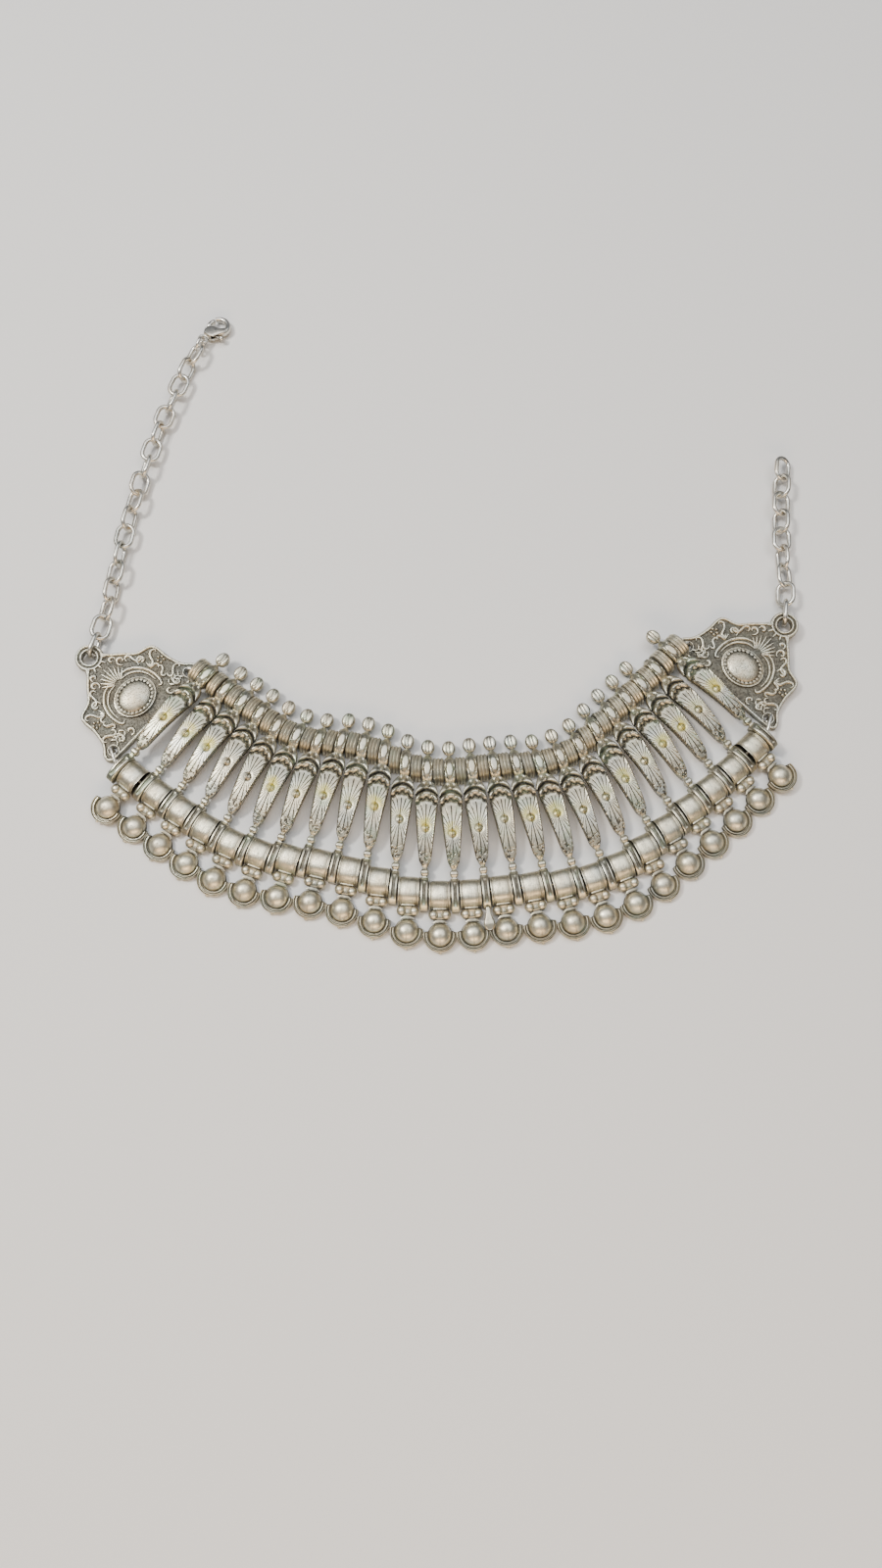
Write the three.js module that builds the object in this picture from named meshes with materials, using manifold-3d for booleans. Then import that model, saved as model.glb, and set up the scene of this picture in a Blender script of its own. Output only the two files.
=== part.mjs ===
// A bib necklace lying unclasped on a flat surface. Cast ribs stand side by side on two wires, with
// ridged spacers between their heads and belled drops between their feet. A cast plate with a
// cabochon closes each end, and two chains lead from the plates to the clasp and to the last link.
// Millimetres: +X runs along the bib, +Y towards the chains, +Z up from the surface.
import * as THREE from "three";
import Module from "manifold-3d";
import { mergeVertices } from "three/addons/utils/BufferGeometryUtils.js";

const wasm = await Module();
wasm.setup();

// Clearances and wires
const GAP = 0.3;
const STRING_GAP = 0.31;
const CORD = 1.0;
const CORD_SIDES = 4;

// Ribs: lengths along the rib are measured from the upper wire, down the rib
const RIB_COUNT = 25;
const WIRE_SPAN = 35.47;
const HEAD_WIDTH = 6.4;
const RIB_THICKNESS = 2.3;
const RIB_BOW = 3.4;
const UPPER_SADDLE = { width: 3.0, above: 3.3, below: 3.5, height: 4.7 };
const LOWER_SADDLE = { width: 2.3, above: 4.4, below: 4.7, height: 4.7 };
const FINIAL = { width: 3.4, length: 4.4, reach: 1.1, thickness: 2.4 };
const FOOT_BALL = 2.4;
const FOOT_NECK = 1.3;
const TAIL = { rib: 14, length: 6.2, width: 3.2, thickness: 1.2, rest: 3.0 };
const BARE_RIB = 24;

// Spacers and drops
const SPACER = { thickness: 2.65, length: 7.6, height: 4.9 };
const ARCH = { wall: 0.5, crown: 0.5 };
const BARREL = { width: 5.53, length: 8.3, height: 4.9 };
const DROP_NECK = { width: 1.8 };
const DROP_BALL = { radius: 1.35, apart: 3.4 };
const BELL = { radius: 4.4, rim: 1.2, dome: 3.1, height: 2.9 };
const BELL_TILT = 7;
const BELL_SIDES = 10;

// Where the strings lie: each row is a rib, and how far it has slid down past the rib before it
const FIRST_RIB = { x: -66.99, y: 30.66, turn: 39.99 };
const SLIDES = [
  { rib: 1, slide: -0.51 },
  { rib: 4, slide: 1.07 },
  { rib: 7, slide: -1.74 },
  { rib: 10, slide: 2.45 },
  { rib: 13, slide: -0.55 },
  { rib: 16, slide: 1.45 },
  { rib: 19, slide: -2.34 },
  { rib: 22, slide: -0.89 },
  { rib: 24, slide: -0.66 },
];

// End plates
const PLATE = {
  thickness: 1.4, border: 1.0, relief: 0.45, web: 1.35,
  shoulder: 10.2, foot: 2.4, holeSpan: 31, holeDrop: 2,
};
const CORD_HOLE = 1.1;
const LOBE = { out: 24.3, radius: 4.1, hole: 1.9 };
const BEZEL = { out: 6.2, width: 10.2, length: 12.4, wall: 1.0, height: 1.5 };
const BEZEL_SIDES = 10;
const CABOCHON_RISE = 1.1;

// Chains and clasp
const LINK = { length: 8.4, width: 6.1, wire: 1.3 };
const LINK_BITE = 0.15;
const LINK_SIDES = 10;
const LINK_WIRE_SIDES = 5;
const RING = { width: 5.6, wire: 1.0, slack: 0.35 };
const CLASP = { thickness: 2.6, slot: 1.2, eye: 1.9, eyeHole: 1.05, eyeThickness: 0.9, arm: 1.6 };
const LEVER = { tongue: 0.6, gate: 1.9, nub: 0.9 };
const PIVOT = { x: 3.7, y: 0.2, radius: 0.45 };
const CLASP_TURN = 47;

// How each chain link lies: its roll about the chain, in degrees, from the plate to the free end
const LEFT_ROLLS = [90, 20, -40, 60, -25, 80, 0, 65, -30, 35, -60, 10, 85, 15, -60, 5, 65, -35];
const RIGHT_ROLLS = [80, -35, 35, -70, 10, -50, 20, -45, 30];
// The chains' routes: the heading of a link, in degrees from +X, from the plate to the free end
const LEFT_ROUTE = [
  { link: 1, heading: 74 },
  { link: 4, heading: 83 },
  { link: 9, heading: 79 },
  { link: 14, heading: 73 },
  { link: 18, heading: 68 },
];
const RIGHT_ROUTE = [
  { link: 1, heading: 82 },
  { link: 3, heading: 91 },
  { link: 6, heading: 86 },
  { link: 9, heading: 82 },
];

const RAD = Math.PI / 180;
const UPPER_PITCH = UPPER_SADDLE.width + SPACER.thickness + 2 * STRING_GAP;
const LOWER_PITCH = LOWER_SADDLE.width + BARREL.width + 2 * STRING_GAP;
const RIB_STEP = 2 * Math.asin((LOWER_PITCH - UPPER_PITCH) / 2 / WIRE_SPAN);
const CORD_LEVEL = SPACER.height / 2;
const PLATE_TOP = PLATE.thickness + PLATE.relief;
const PLATE_EDGE = CORD_HOLE + PLATE.web;
// A plate tips up about its inner edge, so that the first link passes under its lobe
const PLATE_TIP = Math.asin((LINK.wire + GAP) / (LOBE.out - LOBE.radius));
const PLATE_LIFT = PLATE_EDGE * Math.sin(PLATE_TIP);
const END_LIFT = PLATE_TOP + PLATE_LIFT + GAP;

const silver = new THREE.MeshStandardMaterial({ color: 0xb9b2a2, roughness: 0.32, metalness: 1 });
const brushed = new THREE.MeshStandardMaterial({ color: 0xa89f8c, roughness: 0.42, metalness: 1 });
const bright = new THREE.MeshStandardMaterial({ color: 0xc9c6c0, roughness: 0.25, metalness: 1 });

const necklace = new THREE.Group();

// A three.js geometry as a solid, and a solid as a named mesh
function solid(geometry) {
  const bare = geometry.clone();
  bare.deleteAttribute("normal");
  bare.deleteAttribute("uv");
  const merged = mergeVertices(bare, 1e-4);
  return new wasm.Manifold(
    new wasm.Mesh({
      numProp: 3,
      vertProperties: new Float32Array(merged.attributes.position.array),
      triVerts: new Uint32Array(merged.index.array),
    }),
  );
}

function join(geometries) {
  return geometries.map(solid).reduce((whole, piece) => whole.add(piece));
}

function cut(whole, geometries) {
  return geometries.map(solid).reduce((rest, piece) => rest.subtract(piece), whole);
}

function addPiece(name, shape, material) {
  const { vertProperties, triVerts } = shape.getMesh();
  const geometry = new THREE.BufferGeometry();
  geometry.setAttribute("position", new THREE.BufferAttribute(vertProperties, 3));
  geometry.setIndex(new THREE.BufferAttribute(triVerts, 1));
  geometry.computeVertexNormals();
  const mesh = new THREE.Mesh(geometry, material);
  mesh.name = name;
  necklace.add(mesh);
}

const number = (i) => String(i).padStart(2, "0");

// A bar along -Y through rows of four-cornered sections, each wider at its foot than on its top
function loftBar(rows) {
  const bar = new THREE.CylinderGeometry(1, 1, 1, 4, rows.length - 1, false, Math.PI / 4);
  const place = bar.attributes.position;
  for (let i = 0; i < place.count; i++) {
    const side = Math.sign(Math.round(place.getX(i) * 10));
    const level = Math.sign(Math.round(place.getZ(i) * 10));
    const row = rows[Math.round((0.5 - place.getY(i)) * (rows.length - 1))];
    const half = (row.width / 2) * (level > 0 ? row.taper ?? 0.7 : 1);
    const height = level === 0 ? (row.low + row.high) / 2 : level > 0 ? row.high : row.low;
    place.setXYZ(i, side * half, -row.at, height);
  }
  return bar;
}

// A prism across the strand with a flat foot and an arched top, as long as the arch is wide
function archPrism(width, length, height) {
  const arch = new THREE.Shape();
  arch.moveTo(-length / 2, 0);
  arch.lineTo(length / 2, 0);
  arch.lineTo(length / 2, height * ARCH.wall);
  arch.lineTo((length / 2) * ARCH.crown, height);
  arch.lineTo((-length / 2) * ARCH.crown, height);
  arch.lineTo(-length / 2, height * ARCH.wall);
  const prism = new THREE.ExtrudeGeometry(arch, { depth: width, bevelEnabled: false });
  prism.translate(0, 0, -width / 2);
  prism.rotateX(Math.PI / 2);
  prism.rotateZ(Math.PI / 2);
  return prism;
}

// A round rod between two points, run on past each end by the given amount
function rod(from, to, diameter, past = 0, sides = CORD_SIDES) {
  const way = new THREE.Vector3().subVectors(to, from);
  const length = way.length() + 2 * past;
  const stick = new THREE.CylinderGeometry(diameter / 2, diameter / 2, length, sides);
  const turn = new THREE.Quaternion().setFromUnitVectors(new THREE.Vector3(0, 1, 0), way.normalize());
  stick.applyQuaternion(turn);
  const middle = new THREE.Vector3().addVectors(from, to).multiplyScalar(0.5);
  return stick.translate(middle.x, middle.y, middle.z);
}

// A flat strip that follows a line of points on a plane, with its own width at each point
function strip(points, widths, bottom, top) {
  const edge = (i, side) => {
    const ahead = points[Math.min(i + 1, points.length - 1)];
    const behind = points[Math.max(i - 1, 0)];
    const across = new THREE.Vector2(behind.y - ahead.y, ahead.x - behind.x).normalize();
    return points[i].clone().addScaledVector(across, (side * widths[i]) / 2);
  };
  const right = points.map((_, i) => edge(i, -1));
  const left = points.map((_, i) => edge(i, 1)).reverse();
  const shape = new THREE.Shape([...right, ...left]);
  return new THREE.ExtrudeGeometry(shape, { depth: top - bottom, bevelEnabled: false }).translate(0, 0, bottom);
}

// Ribs and strings lie along the surface: a place on the bib turns pieces with the rib's own heading
function placed(geometry, spot) {
  return geometry.rotateZ(-spot.turn).translate(spot.x, spot.y, spot.lift);
}

function along(spot, across, down, level) {
  return new THREE.Vector3(
    spot.x + across * Math.cos(spot.turn) - down * Math.sin(spot.turn),
    spot.y - across * Math.sin(spot.turn) - down * Math.cos(spot.turn),
    level,
  );
}

function slideAfter(rib) {
  const next = SLIDES.findIndex((row) => row.rib >= rib);
  if (next < 1) return SLIDES[Math.max(next, 0)].slide;
  const [a, b] = [SLIDES[next - 1], SLIDES[next]];
  return a.slide + ((b.slide - a.slide) * (rib - a.rib)) / (b.rib - a.rib);
}

function layRibs() {
  const spots = [{ x: FIRST_RIB.x, y: FIRST_RIB.y, turn: FIRST_RIB.turn * RAD, lift: END_LIFT }];
  for (let rib = 1; rib < RIB_COUNT; rib++) {
    const last = spots[rib - 1];
    const between = { ...last, turn: last.turn - RIB_STEP / 2 };
    const { x, y } = along(between, UPPER_PITCH, slideAfter(Math.min(rib, SLIDES.at(-1).rib)), 0);
    spots.push({ x, y, turn: last.turn - RIB_STEP, lift: rib === RIB_COUNT - 1 ? END_LIFT : 0 });
  }
  return spots;
}

// The places between neighbouring ribs at a distance down the ribs
function betweenRibs(spots, down) {
  return spots.slice(1).map((spot, i) => {
    const a = along(spots[i], 0, down, 0);
    const b = along(spot, 0, down, 0);
    const turn = (spots[i].turn + spot.turn) / 2;
    return { x: (a.x + b.x) / 2, y: (a.y + b.y) / 2, turn, lift: (spots[i].lift + spot.lift) / 2 };
  });
}

const ribSpots = layRibs();
const firstSpot = ribSpots[0];
const lastSpot = ribSpots.at(-1);

function besideEnd(spot, side, across, down) {
  const point = along(spot, side * across, down, 0);
  return { x: point.x, y: point.y, turn: spot.turn, lift: spot.lift };
}

const spacerSpots = [
  besideEnd(firstSpot, -1, UPPER_PITCH / 2, 0),
  ...betweenRibs(ribSpots, 0),
  besideEnd(lastSpot, 1, UPPER_PITCH / 2, 0),
];
const dropSpots = betweenRibs(ribSpots, WIRE_SPAN);
const LEG_OUT = LOWER_SADDLE.width / 2 + GAP + CORD / 2;
const lowerEnds = [
  besideEnd(firstSpot, -1, LEG_OUT, WIRE_SPAN),
  besideEnd(lastSpot, 1, LEG_OUT, WIRE_SPAN),
];
const cordPoint = (spot) => new THREE.Vector3(spot.x, spot.y, spot.lift + CORD_LEVEL);
const upperCord = spacerSpots.map(cordPoint);
const lowerCord = [lowerEnds[0], ...dropSpots, lowerEnds[1]].map(cordPoint);

// A cast rib: finial, upper saddle, arched head, tapering body, foot ball, lower saddle
function ribGeometry(hasFinial, hasTail) {
  const up = UPPER_SADDLE;
  const low = LOWER_SADDLE;
  const bodyTop = up.below;
  const bodyFoot = WIRE_SPAN - low.above - FOOT_BALL - 0.6;
  const arc = (at) => {
    const share = THREE.MathUtils.clamp((at - bodyTop) / (bodyFoot - bodyTop), 0, 1);
    return RIB_BOW * Math.sin(Math.PI * (0.12 + 0.76 * share));
  };
  const body = (share, width, thickness = 1) => {
    const at = bodyTop + share * (bodyFoot - bodyTop);
    return { at, width: HEAD_WIDTH * width, low: arc(at), high: arc(at) + RIB_THICKNESS * thickness };
  };
  const knob = (at, width, thickness) => {
    const middle = arc(at) + RIB_THICKNESS / 2;
    return { at, width, low: middle - thickness / 2, high: middle + thickness / 2, taper: 0.8 };
  };
  const bead = CORD_LEVEL - 0.1;
  const finialFoot = -(up.above + FINIAL.reach);
  const finialRow = (share, width, thickness) => ({
    at: finialFoot - FINIAL.length * share,
    width: FINIAL.width * width,
    low: bead - (FINIAL.thickness * thickness) / 2,
    high: bead + (FINIAL.thickness * thickness) / 2,
  });
  const finial = [
    finialRow(1, 0.55, 0.6),
    finialRow(0.55, 1, 1),
    finialRow(0, 0.38, 0.55),
  ];
  const saddle = [
    { at: -up.above, width: up.width, low: 0, high: up.height * 0.55, taper: 0.9 },
    { at: -up.above * 0.5, width: up.width, low: 0, high: up.height, taper: 0.85 },
    { at: up.below * 0.45, width: up.width, low: 0, high: up.height, taper: 0.85 },
    { at: up.below, width: up.width, low: arc(up.below), high: up.height * 0.62, taper: 0.9 },
  ];
  const head = [
    body(0.11, 0.66, 1),
    body(0.18, 1, 1.05),
    body(0.6, 0.76, 1),
    body(0.96, 0.52, 0.95),
  ];
  const ballAt = WIRE_SPAN - low.above - FOOT_BALL / 2 - 0.3;
  const foot = [
    knob(ballAt - FOOT_BALL / 2, FOOT_NECK, FOOT_NECK),
    knob(ballAt, FOOT_BALL, FOOT_BALL),
  ];
  const lower = [
    { at: WIRE_SPAN - low.above, width: low.width, low: 0, high: low.height * 0.62, taper: 0.9 },
    { at: WIRE_SPAN - low.above * 0.5, width: low.width, low: 0, high: low.height, taper: 0.85 },
    { at: WIRE_SPAN + low.below * 0.5, width: low.width, low: 0, high: low.height, taper: 0.85 },
    { at: WIRE_SPAN + low.below, width: low.width * 0.8, low: 0, high: low.height * 0.4, taper: 0.8 },
  ];
  const tailRow = (share, width) => ({
    at: WIRE_SPAN + low.below + TAIL.length * share,
    width: TAIL.width * width,
    low: TAIL.rest * Math.min(1, 0.5 + share),
    high: TAIL.rest * Math.min(1, 0.5 + share) + TAIL.thickness,
  });
  const tail = [tailRow(0.02, 0.35), tailRow(0.35, 0.5), tailRow(0.75, 1), tailRow(1, 0.5)];
  const rows = [...(hasFinial ? finial : []), ...saddle, ...head, ...foot, ...lower, ...(hasTail ? tail : [])];
  return loftBar(rows);
}

ribSpots.forEach((spot, i) => {
  const bar = ribGeometry(i + 1 !== BARE_RIB, i + 1 === TAIL.rib);
  const bore = (CORD + 2 * GAP) * Math.SQRT2;
  const holes = [upperCord, lowerCord].map((cord) => rod(cord[i], cord[i + 1], bore, 0, 4));
  const rib = cut(solid(placed(bar, spot)), holes);
  addPiece("rib_" + number(i + 1), rib, silver);
});

// The loop of wire that holds a plate: down through its hole, under its web and up beside it
function endLoop(from, hole) {
  const over = new THREE.Vector3(hole.x, hole.y, from.z);
  const under = new THREE.Vector3(hole.x, hole.y, CORD / 2);
  const back = new THREE.Vector3(from.x, from.y, CORD / 2);
  const pairs = [[from, over], [over, under], [under, back], [back, from]];
  return pairs.map(([a, b]) => rod(a, b, CORD, CORD * 0.4));
}

const HOLE_OUT = CORD / 2 + GAP + PLATE_EDGE;
const plateHole = (spot, side, down) => along(spot, side * (UPPER_PITCH / 2 + HOLE_OUT), down, 0);
const HOLES_DOWN = [PLATE.holeDrop, PLATE.holeDrop + PLATE.holeSpan];

const cordRods = (points) => points.slice(1).map((point, i) => rod(points[i], point, CORD));

const upperPieces = [
  ...spacerSpots.map((spot) => placed(archPrism(SPACER.thickness, SPACER.length, SPACER.height), spot)),
  ...cordRods(upperCord),
  ...endLoop(upperCord[0], plateHole(firstSpot, -1, HOLES_DOWN[0])),
  ...endLoop(upperCord.at(-1), plateHole(lastSpot, 1, HOLES_DOWN[0])),
];
addPiece("upper_strand", join(upperPieces), brushed);

// A drop: an arched barrel on the wire, a neck, two balls and a bell with a raised rim
function dropPieces() {
  const barrel = archPrism(BARREL.width, BARREL.length, BARREL.height);
  const lift = Math.sin(BELL_TILT * RAD) * 2 * BELL.radius;
  const ballsDown = BARREL.length / 2 + DROP_BALL.radius + 0.1;
  const bellDown = ballsDown + DROP_BALL.radius + BELL.radius - 0.3;
  const neckEnds = [BARREL.length / 2 - 0.4, bellDown - BELL.radius + 0.4];
  const neckLevel = lift + BELL.rim / 2;
  const yokeRow = (at, width) => ({
    at,
    width,
    low: neckLevel - BELL.rim * 0.4,
    high: neckLevel + BELL.rim * 0.55,
    taper: 0.85,
  });
  const neck = loftBar([
    yokeRow(neckEnds[0], DROP_NECK.width),
    yokeRow(ballsDown, DROP_BALL.apart + 2 * DROP_BALL.radius),
    yokeRow(neckEnds[1], DROP_NECK.width),
  ]);
  const profile = [
    new THREE.Vector2(0, 0),
    new THREE.Vector2(BELL.radius, 0),
    new THREE.Vector2(BELL.radius, BELL.rim),
    new THREE.Vector2(BELL.dome * 0.75, BELL.height * 0.85),
    new THREE.Vector2(0, BELL.height),
  ];
  const bell = new THREE.LatheGeometry(profile, BELL_SIDES, Math.PI / BELL_SIDES).rotateX(Math.PI / 2);
  bell.translate(0, BELL.radius, 0).rotateX(BELL_TILT * RAD);
  bell.translate(0, -bellDown - BELL.radius, 0);
  return [barrel, neck, bell];
}

const lowerHoles = [plateHole(firstSpot, -1, HOLES_DOWN[1]), plateHole(lastSpot, 1, HOLES_DOWN[1])];
const lowerPieces = [
  ...dropSpots.flatMap((spot) => dropPieces().map((piece) => placed(piece, spot))),
  ...cordRods(lowerCord),
  ...endLoop(lowerCord[0], lowerHoles[0]),
  ...endLoop(lowerCord.at(-1), lowerHoles[1]),
];
addPiece("drop_strand", join(lowerPieces), brushed);

// An end plate lies on its own axes: out from its wire holes towards the chain, and across, symmetrical.
// Its corners follow the lobe's place and the line of its wire holes
const HALF_SPAN = PLATE.holeSpan / 2;
const SHOULDER = LOBE.out - PLATE.shoulder;
const PLATE_HALF = [
  { out: LOBE.out - 0.8 * LOBE.radius, across: 1.2 * LOBE.radius },
  { out: SHOULDER * 1.3, across: HALF_SPAN * 0.47 },
  { out: SHOULDER * 1.08, across: HALF_SPAN * 0.66 },
  { out: SHOULDER, across: HALF_SPAN * 0.94 },
  { out: PLATE.foot * 1.5, across: HALF_SPAN + 0.3 * PLATE.foot },
  { out: PLATE.foot * 0.5, across: HALF_SPAN + 1.2 * PLATE.foot },
];
const PLATE_INNER = { out: -PLATE_EDGE, across: HALF_SPAN + 1.04 * PLATE.foot };
const LOBE_SWEEP = 124;
const LOBE_STEPS = 5;

function plateOutline() {
  const lobe = new THREE.EllipseCurve(
    LOBE.out, 0, LOBE.radius, LOBE.radius, -LOBE_SWEEP * RAD, LOBE_SWEEP * RAD,
  ).getPoints(LOBE_STEPS);
  const upper = [...PLATE_HALF, PLATE_INNER].map((row) => new THREE.Vector2(row.out, row.across));
  const lower = upper.map((point) => new THREE.Vector2(point.x, -point.y)).reverse();
  return [...lobe, ...upper, ...lower];
}

// The same outline drawn in by a border's width
function drawnIn(outline, width) {
  return outline.map((point, i) => {
    const before = outline.at(i - 1);
    const after = outline[(i + 1) % outline.length];
    const normals = [[before, point], [point, after]].map(([a, b]) =>
      new THREE.Vector2(a.y - b.y, b.x - a.x).normalize());
    const middle = normals[0].clone().add(normals[1]).normalize();
    return point.clone().addScaledVector(middle, width / Math.max(middle.dot(normals[0]), 0.6));
  });
}

const flat = (points, height) =>
  new THREE.ExtrudeGeometry(new THREE.Shape(points), { depth: height, bevelEnabled: false });

const plateHoles = [
  { out: LOBE.out, across: 0, radius: LOBE.hole, sides: 10 },
  ...[-1, 1].map((side) => ({ out: 0, across: side * HALF_SPAN, radius: CORD_HOLE, sides: 6 })),
];

function upright(out, across, radius, low, high, sides) {
  const post = new THREE.CylinderGeometry(radius, radius, high - low, sides).rotateX(Math.PI / 2);
  return post.translate(out, across, (low + high) / 2);
}

// Raised scroll work: each row is a curl, as the centre, radius and sweep of its arc
const CURLS = [
  { out: SHOULDER * 0.75, across: HALF_SPAN * 0.75, radius: 2.1, from: 200, to: 480 },
  { out: SHOULDER * 0.4, across: HALF_SPAN * 0.8, radius: 1.5, from: -60, to: 210 },
];
const CURL_STEPS = 3;
const RAY_TURNS = [-28, 0, 28];

function scrollWork() {
  const foot = PLATE.thickness - 0.2;
  const curls = CURLS.flatMap((curl) => [-1, 1].map((side) => {
    const points = Array.from({ length: CURL_STEPS + 1 }, (_, i) => {
      const angle = (curl.from + ((curl.to - curl.from) * i) / CURL_STEPS) * RAD;
      return new THREE.Vector2(
        curl.out + curl.radius * Math.cos(angle),
        side * (curl.across + curl.radius * Math.sin(angle)),
      );
    });
    const widths = points.map((_, i) => 0.5 + 0.5 * Math.sin((Math.PI * i) / CURL_STEPS));
    return strip(side < 0 ? points : points.reverse(), widths, foot, PLATE_TOP);
  }));
  const rays = RAY_TURNS.map((degrees) => {
    const start = BEZEL.out + BEZEL.width / 2 + 0.8;
    const length = LOBE.out - LOBE.radius - start - 0.4;
    const end = new THREE.Vector2(start + length * Math.cos(degrees * RAD), length * Math.sin(degrees * RAD));
    return strip([new THREE.Vector2(start, 0), end], [0.5, 0.9], foot, PLATE_TOP);
  });
  return [...curls, ...rays];
}

function ovalLathe(profile, sides) {
  const oval = new THREE.LatheGeometry(profile.map(([x, y]) => new THREE.Vector2(x, y)), sides);
  oval.rotateX(Math.PI / 2).scale(1, BEZEL.length / BEZEL.width, 1);
  return oval.translate(BEZEL.out, 0, PLATE.thickness - 0.2);
}

function plateSolid() {
  const outline = plateOutline();
  const slab = flat(outline, PLATE.thickness);
  const rim = solid(flat(outline, PLATE_TOP)).subtract(
    solid(flat(drawnIn(outline, PLATE.border), PLATE_TOP * 2).translate(0, 0, -PLATE_TOP / 2)),
  );
  const half = BEZEL.width / 2;
  const bezel = ovalLathe([
    [0, 0], [half, 0], [half - BEZEL.wall * 0.6, BEZEL.height],
    [half - BEZEL.wall - 0.2, BEZEL.height * 0.8], [half * 0.45, BEZEL.height * 0.8 + CABOCHON_RISE * 0.8],
    [0, BEZEL.height * 0.8 + CABOCHON_RISE],
  ], BEZEL_SIDES);
  const body = join([slab, bezel, ...scrollWork()]).add(rim);
  const holes = plateHoles.map((hole) =>
    upright(hole.out, hole.across, hole.radius, -1, PLATE_TOP + 1, hole.sides));
  return cut(body, holes);
}

// Under its web a plate is hollowed for the wire that loops through its hole
function wireRecess(from, hole) {
  const way = new THREE.Vector2(hole.x - from.x, hole.y - from.y);
  const length = way.length() + 2 * CORD_HOLE;
  const recess = new THREE.BoxGeometry(length, CORD + 2 * GAP, 2 * (CORD + GAP));
  return recess.rotateZ(way.angle()).translate((from.x + hole.x) / 2, (from.y + hole.y) / 2, 0);
}

function layPlate(spot, side) {
  const place = new THREE.Matrix4();
  const middle = along(spot, side * (UPPER_PITCH / 2 + HOLE_OUT), PLATE.holeDrop + HALF_SPAN, 0);
  place.makeTranslation(middle.x, middle.y, PLATE_LIFT);
  place.multiply(new THREE.Matrix4().makeRotationZ(-spot.turn + (side < 0 ? Math.PI : 0)));
  place.multiply(new THREE.Matrix4().makeRotationY(-PLATE_TIP));
  return place;
}

const plateShape = plateSolid();
const plates = [
  { name: "end_plate_left", spot: firstSpot, side: -1, cords: [upperCord[0], lowerCord[0]] },
  { name: "end_plate_right", spot: lastSpot, side: 1, cords: [upperCord.at(-1), lowerCord.at(-1)] },
].map(({ name, spot, side, cords }) => {
  const place = layPlate(spot, side);
  const recesses = cords.map((from, i) => wireRecess(from, plateHole(spot, side, HOLES_DOWN[i])));
  addPiece(name, cut(plateShape.transform(place.elements), recesses), silver);
  return place;
});

// Chains: oval links that bite their neighbours, each rolled about the chain's line
const LINK_PITCH = LINK.length - 2 * LINK.wire + LINK_BITE;
const CHAIN_LEVEL = LINK.width / 2;

function linkGeometry(length, width, wire, sides, wireSides) {
  const link = new THREE.TorusGeometry((width - wire) / 2, wire / 2, wireSides, sides);
  const place = link.attributes.position;
  for (let i = 0; i < place.count; i++) {
    const y = place.getY(i);
    if (Math.abs(y) > wire / 2) place.setY(i, y + (Math.sign(y) * (length - width)) / 2);
  }
  return link;
}

function headingAt(route, link) {
  const next = Math.max(route.findIndex((row) => row.link >= link), 1);
  const [a, b] = [route[next - 1], route[next]];
  return (a.heading + ((b.heading - a.heading) * (link - a.link)) / (b.link - a.link)) * RAD;
}

function layChain(start, route, rolls) {
  const centre = start.clone();
  return rolls.map((roll, i) => {
    const heading = headingAt(route, i + 1);
    const way = new THREE.Vector3(Math.cos(heading), Math.sin(heading), 0);
    centre.addScaledVector(way, i === 0 ? 0 : LINK_PITCH / 2);
    const link = linkGeometry(LINK.length, LINK.width, LINK.wire, LINK_SIDES, LINK_WIRE_SIDES);
    link.rotateY(roll * RAD).rotateZ(heading - Math.PI / 2).translate(centre.x, centre.y, centre.z);
    const end = centre.clone();
    centre.addScaledVector(way, LINK_PITCH / 2);
    return { link, end, way };
  });
}

function chainFrom(plate, route, rolls) {
  const hole = new THREE.Vector3(LOBE.out, 0, 0).applyMatrix4(plate).setZ(CHAIN_LEVEL);
  const heading = headingAt(route, 1);
  const reach = (LINK.length - LINK.wire) / 2 + LOBE.hole - LINK.wire / 2 - 2 * GAP;
  const start = hole.add(new THREE.Vector3(Math.cos(heading), Math.sin(heading), 0).multiplyScalar(reach));
  return layChain(start, route, rolls);
}

const leftChain = chainFrom(plates[0], LEFT_ROUTE, LEFT_ROLLS);
const rightChain = chainFrom(plates[1], RIGHT_ROUTE, RIGHT_ROLLS);
addPiece("chain_left", join(leftChain.map(({ link }) => link)), bright);
addPiece("chain_right", join(rightChain.map(({ link }) => link)), bright);

// The ring stands on edge: the last link lies in one side of it and the clasp's eye in the other
const lastLink = leftChain.at(-1);
const ringRadius = (RING.width - RING.wire) / 2;
const ringCentre = lastLink.end
  .clone()
  .addScaledVector(lastLink.way, (LINK.length - LINK.wire) / 2 + ringRadius - RING.wire / 2 - LINK.wire / 2 - GAP - RING.slack)
  .setZ(RING.width / 2);
const ringHeading = Math.atan2(lastLink.way.y, lastLink.way.x);
const ring = new THREE.TorusGeometry(ringRadius, RING.wire / 2, LINK_WIRE_SIDES, 12);
ring.rotateX(Math.PI / 2).rotateZ(ringHeading).translate(ringCentre.x, ringCentre.y, ringCentre.z);
addPiece("clasp_ring", solid(ring), bright);

// The clasp points away from its eye, tipped down until its nose rests on the surface
const HOOK = [
  { x: 4.4, y: -1.9, width: 1 },
  { x: 6.2, y: -2.75, width: 1 },
  { x: 8.0, y: -2.5, width: 1 },
  { x: 9.4, y: -1.3, width: 1 },
  { x: 9.8, y: 0.2, width: 0.95 },
  { x: 9.3, y: 1.6, width: 0.9 },
  { x: 8.3, y: 2.4, width: 0.8 },
];
const BASE = [
  { x: 1.2, width: 2.4 },
  { x: 2.4, width: 4.2 },
  { x: 4.2, width: 4.9 },
  { x: 5.4, width: 3.6 },
];
const SLOT = { from: 1.9, to: 5.9 };
const ARM = [
  { x: 4.2, y: -4.0, width: 1.4 },
  { x: 4.0, y: -1.8, width: 1.6 },
  { x: PIVOT.x, y: PIVOT.y, width: 2.4 },
  { x: 4.8, y: 1.6, width: 1.6 },
  { x: 6.2, y: 2.05, width: 1.3 },
  { x: 7.15, y: 2.4, width: 1.2 },
];
const noseReach = HOOK[4].x + CLASP.arm / 2;
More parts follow.
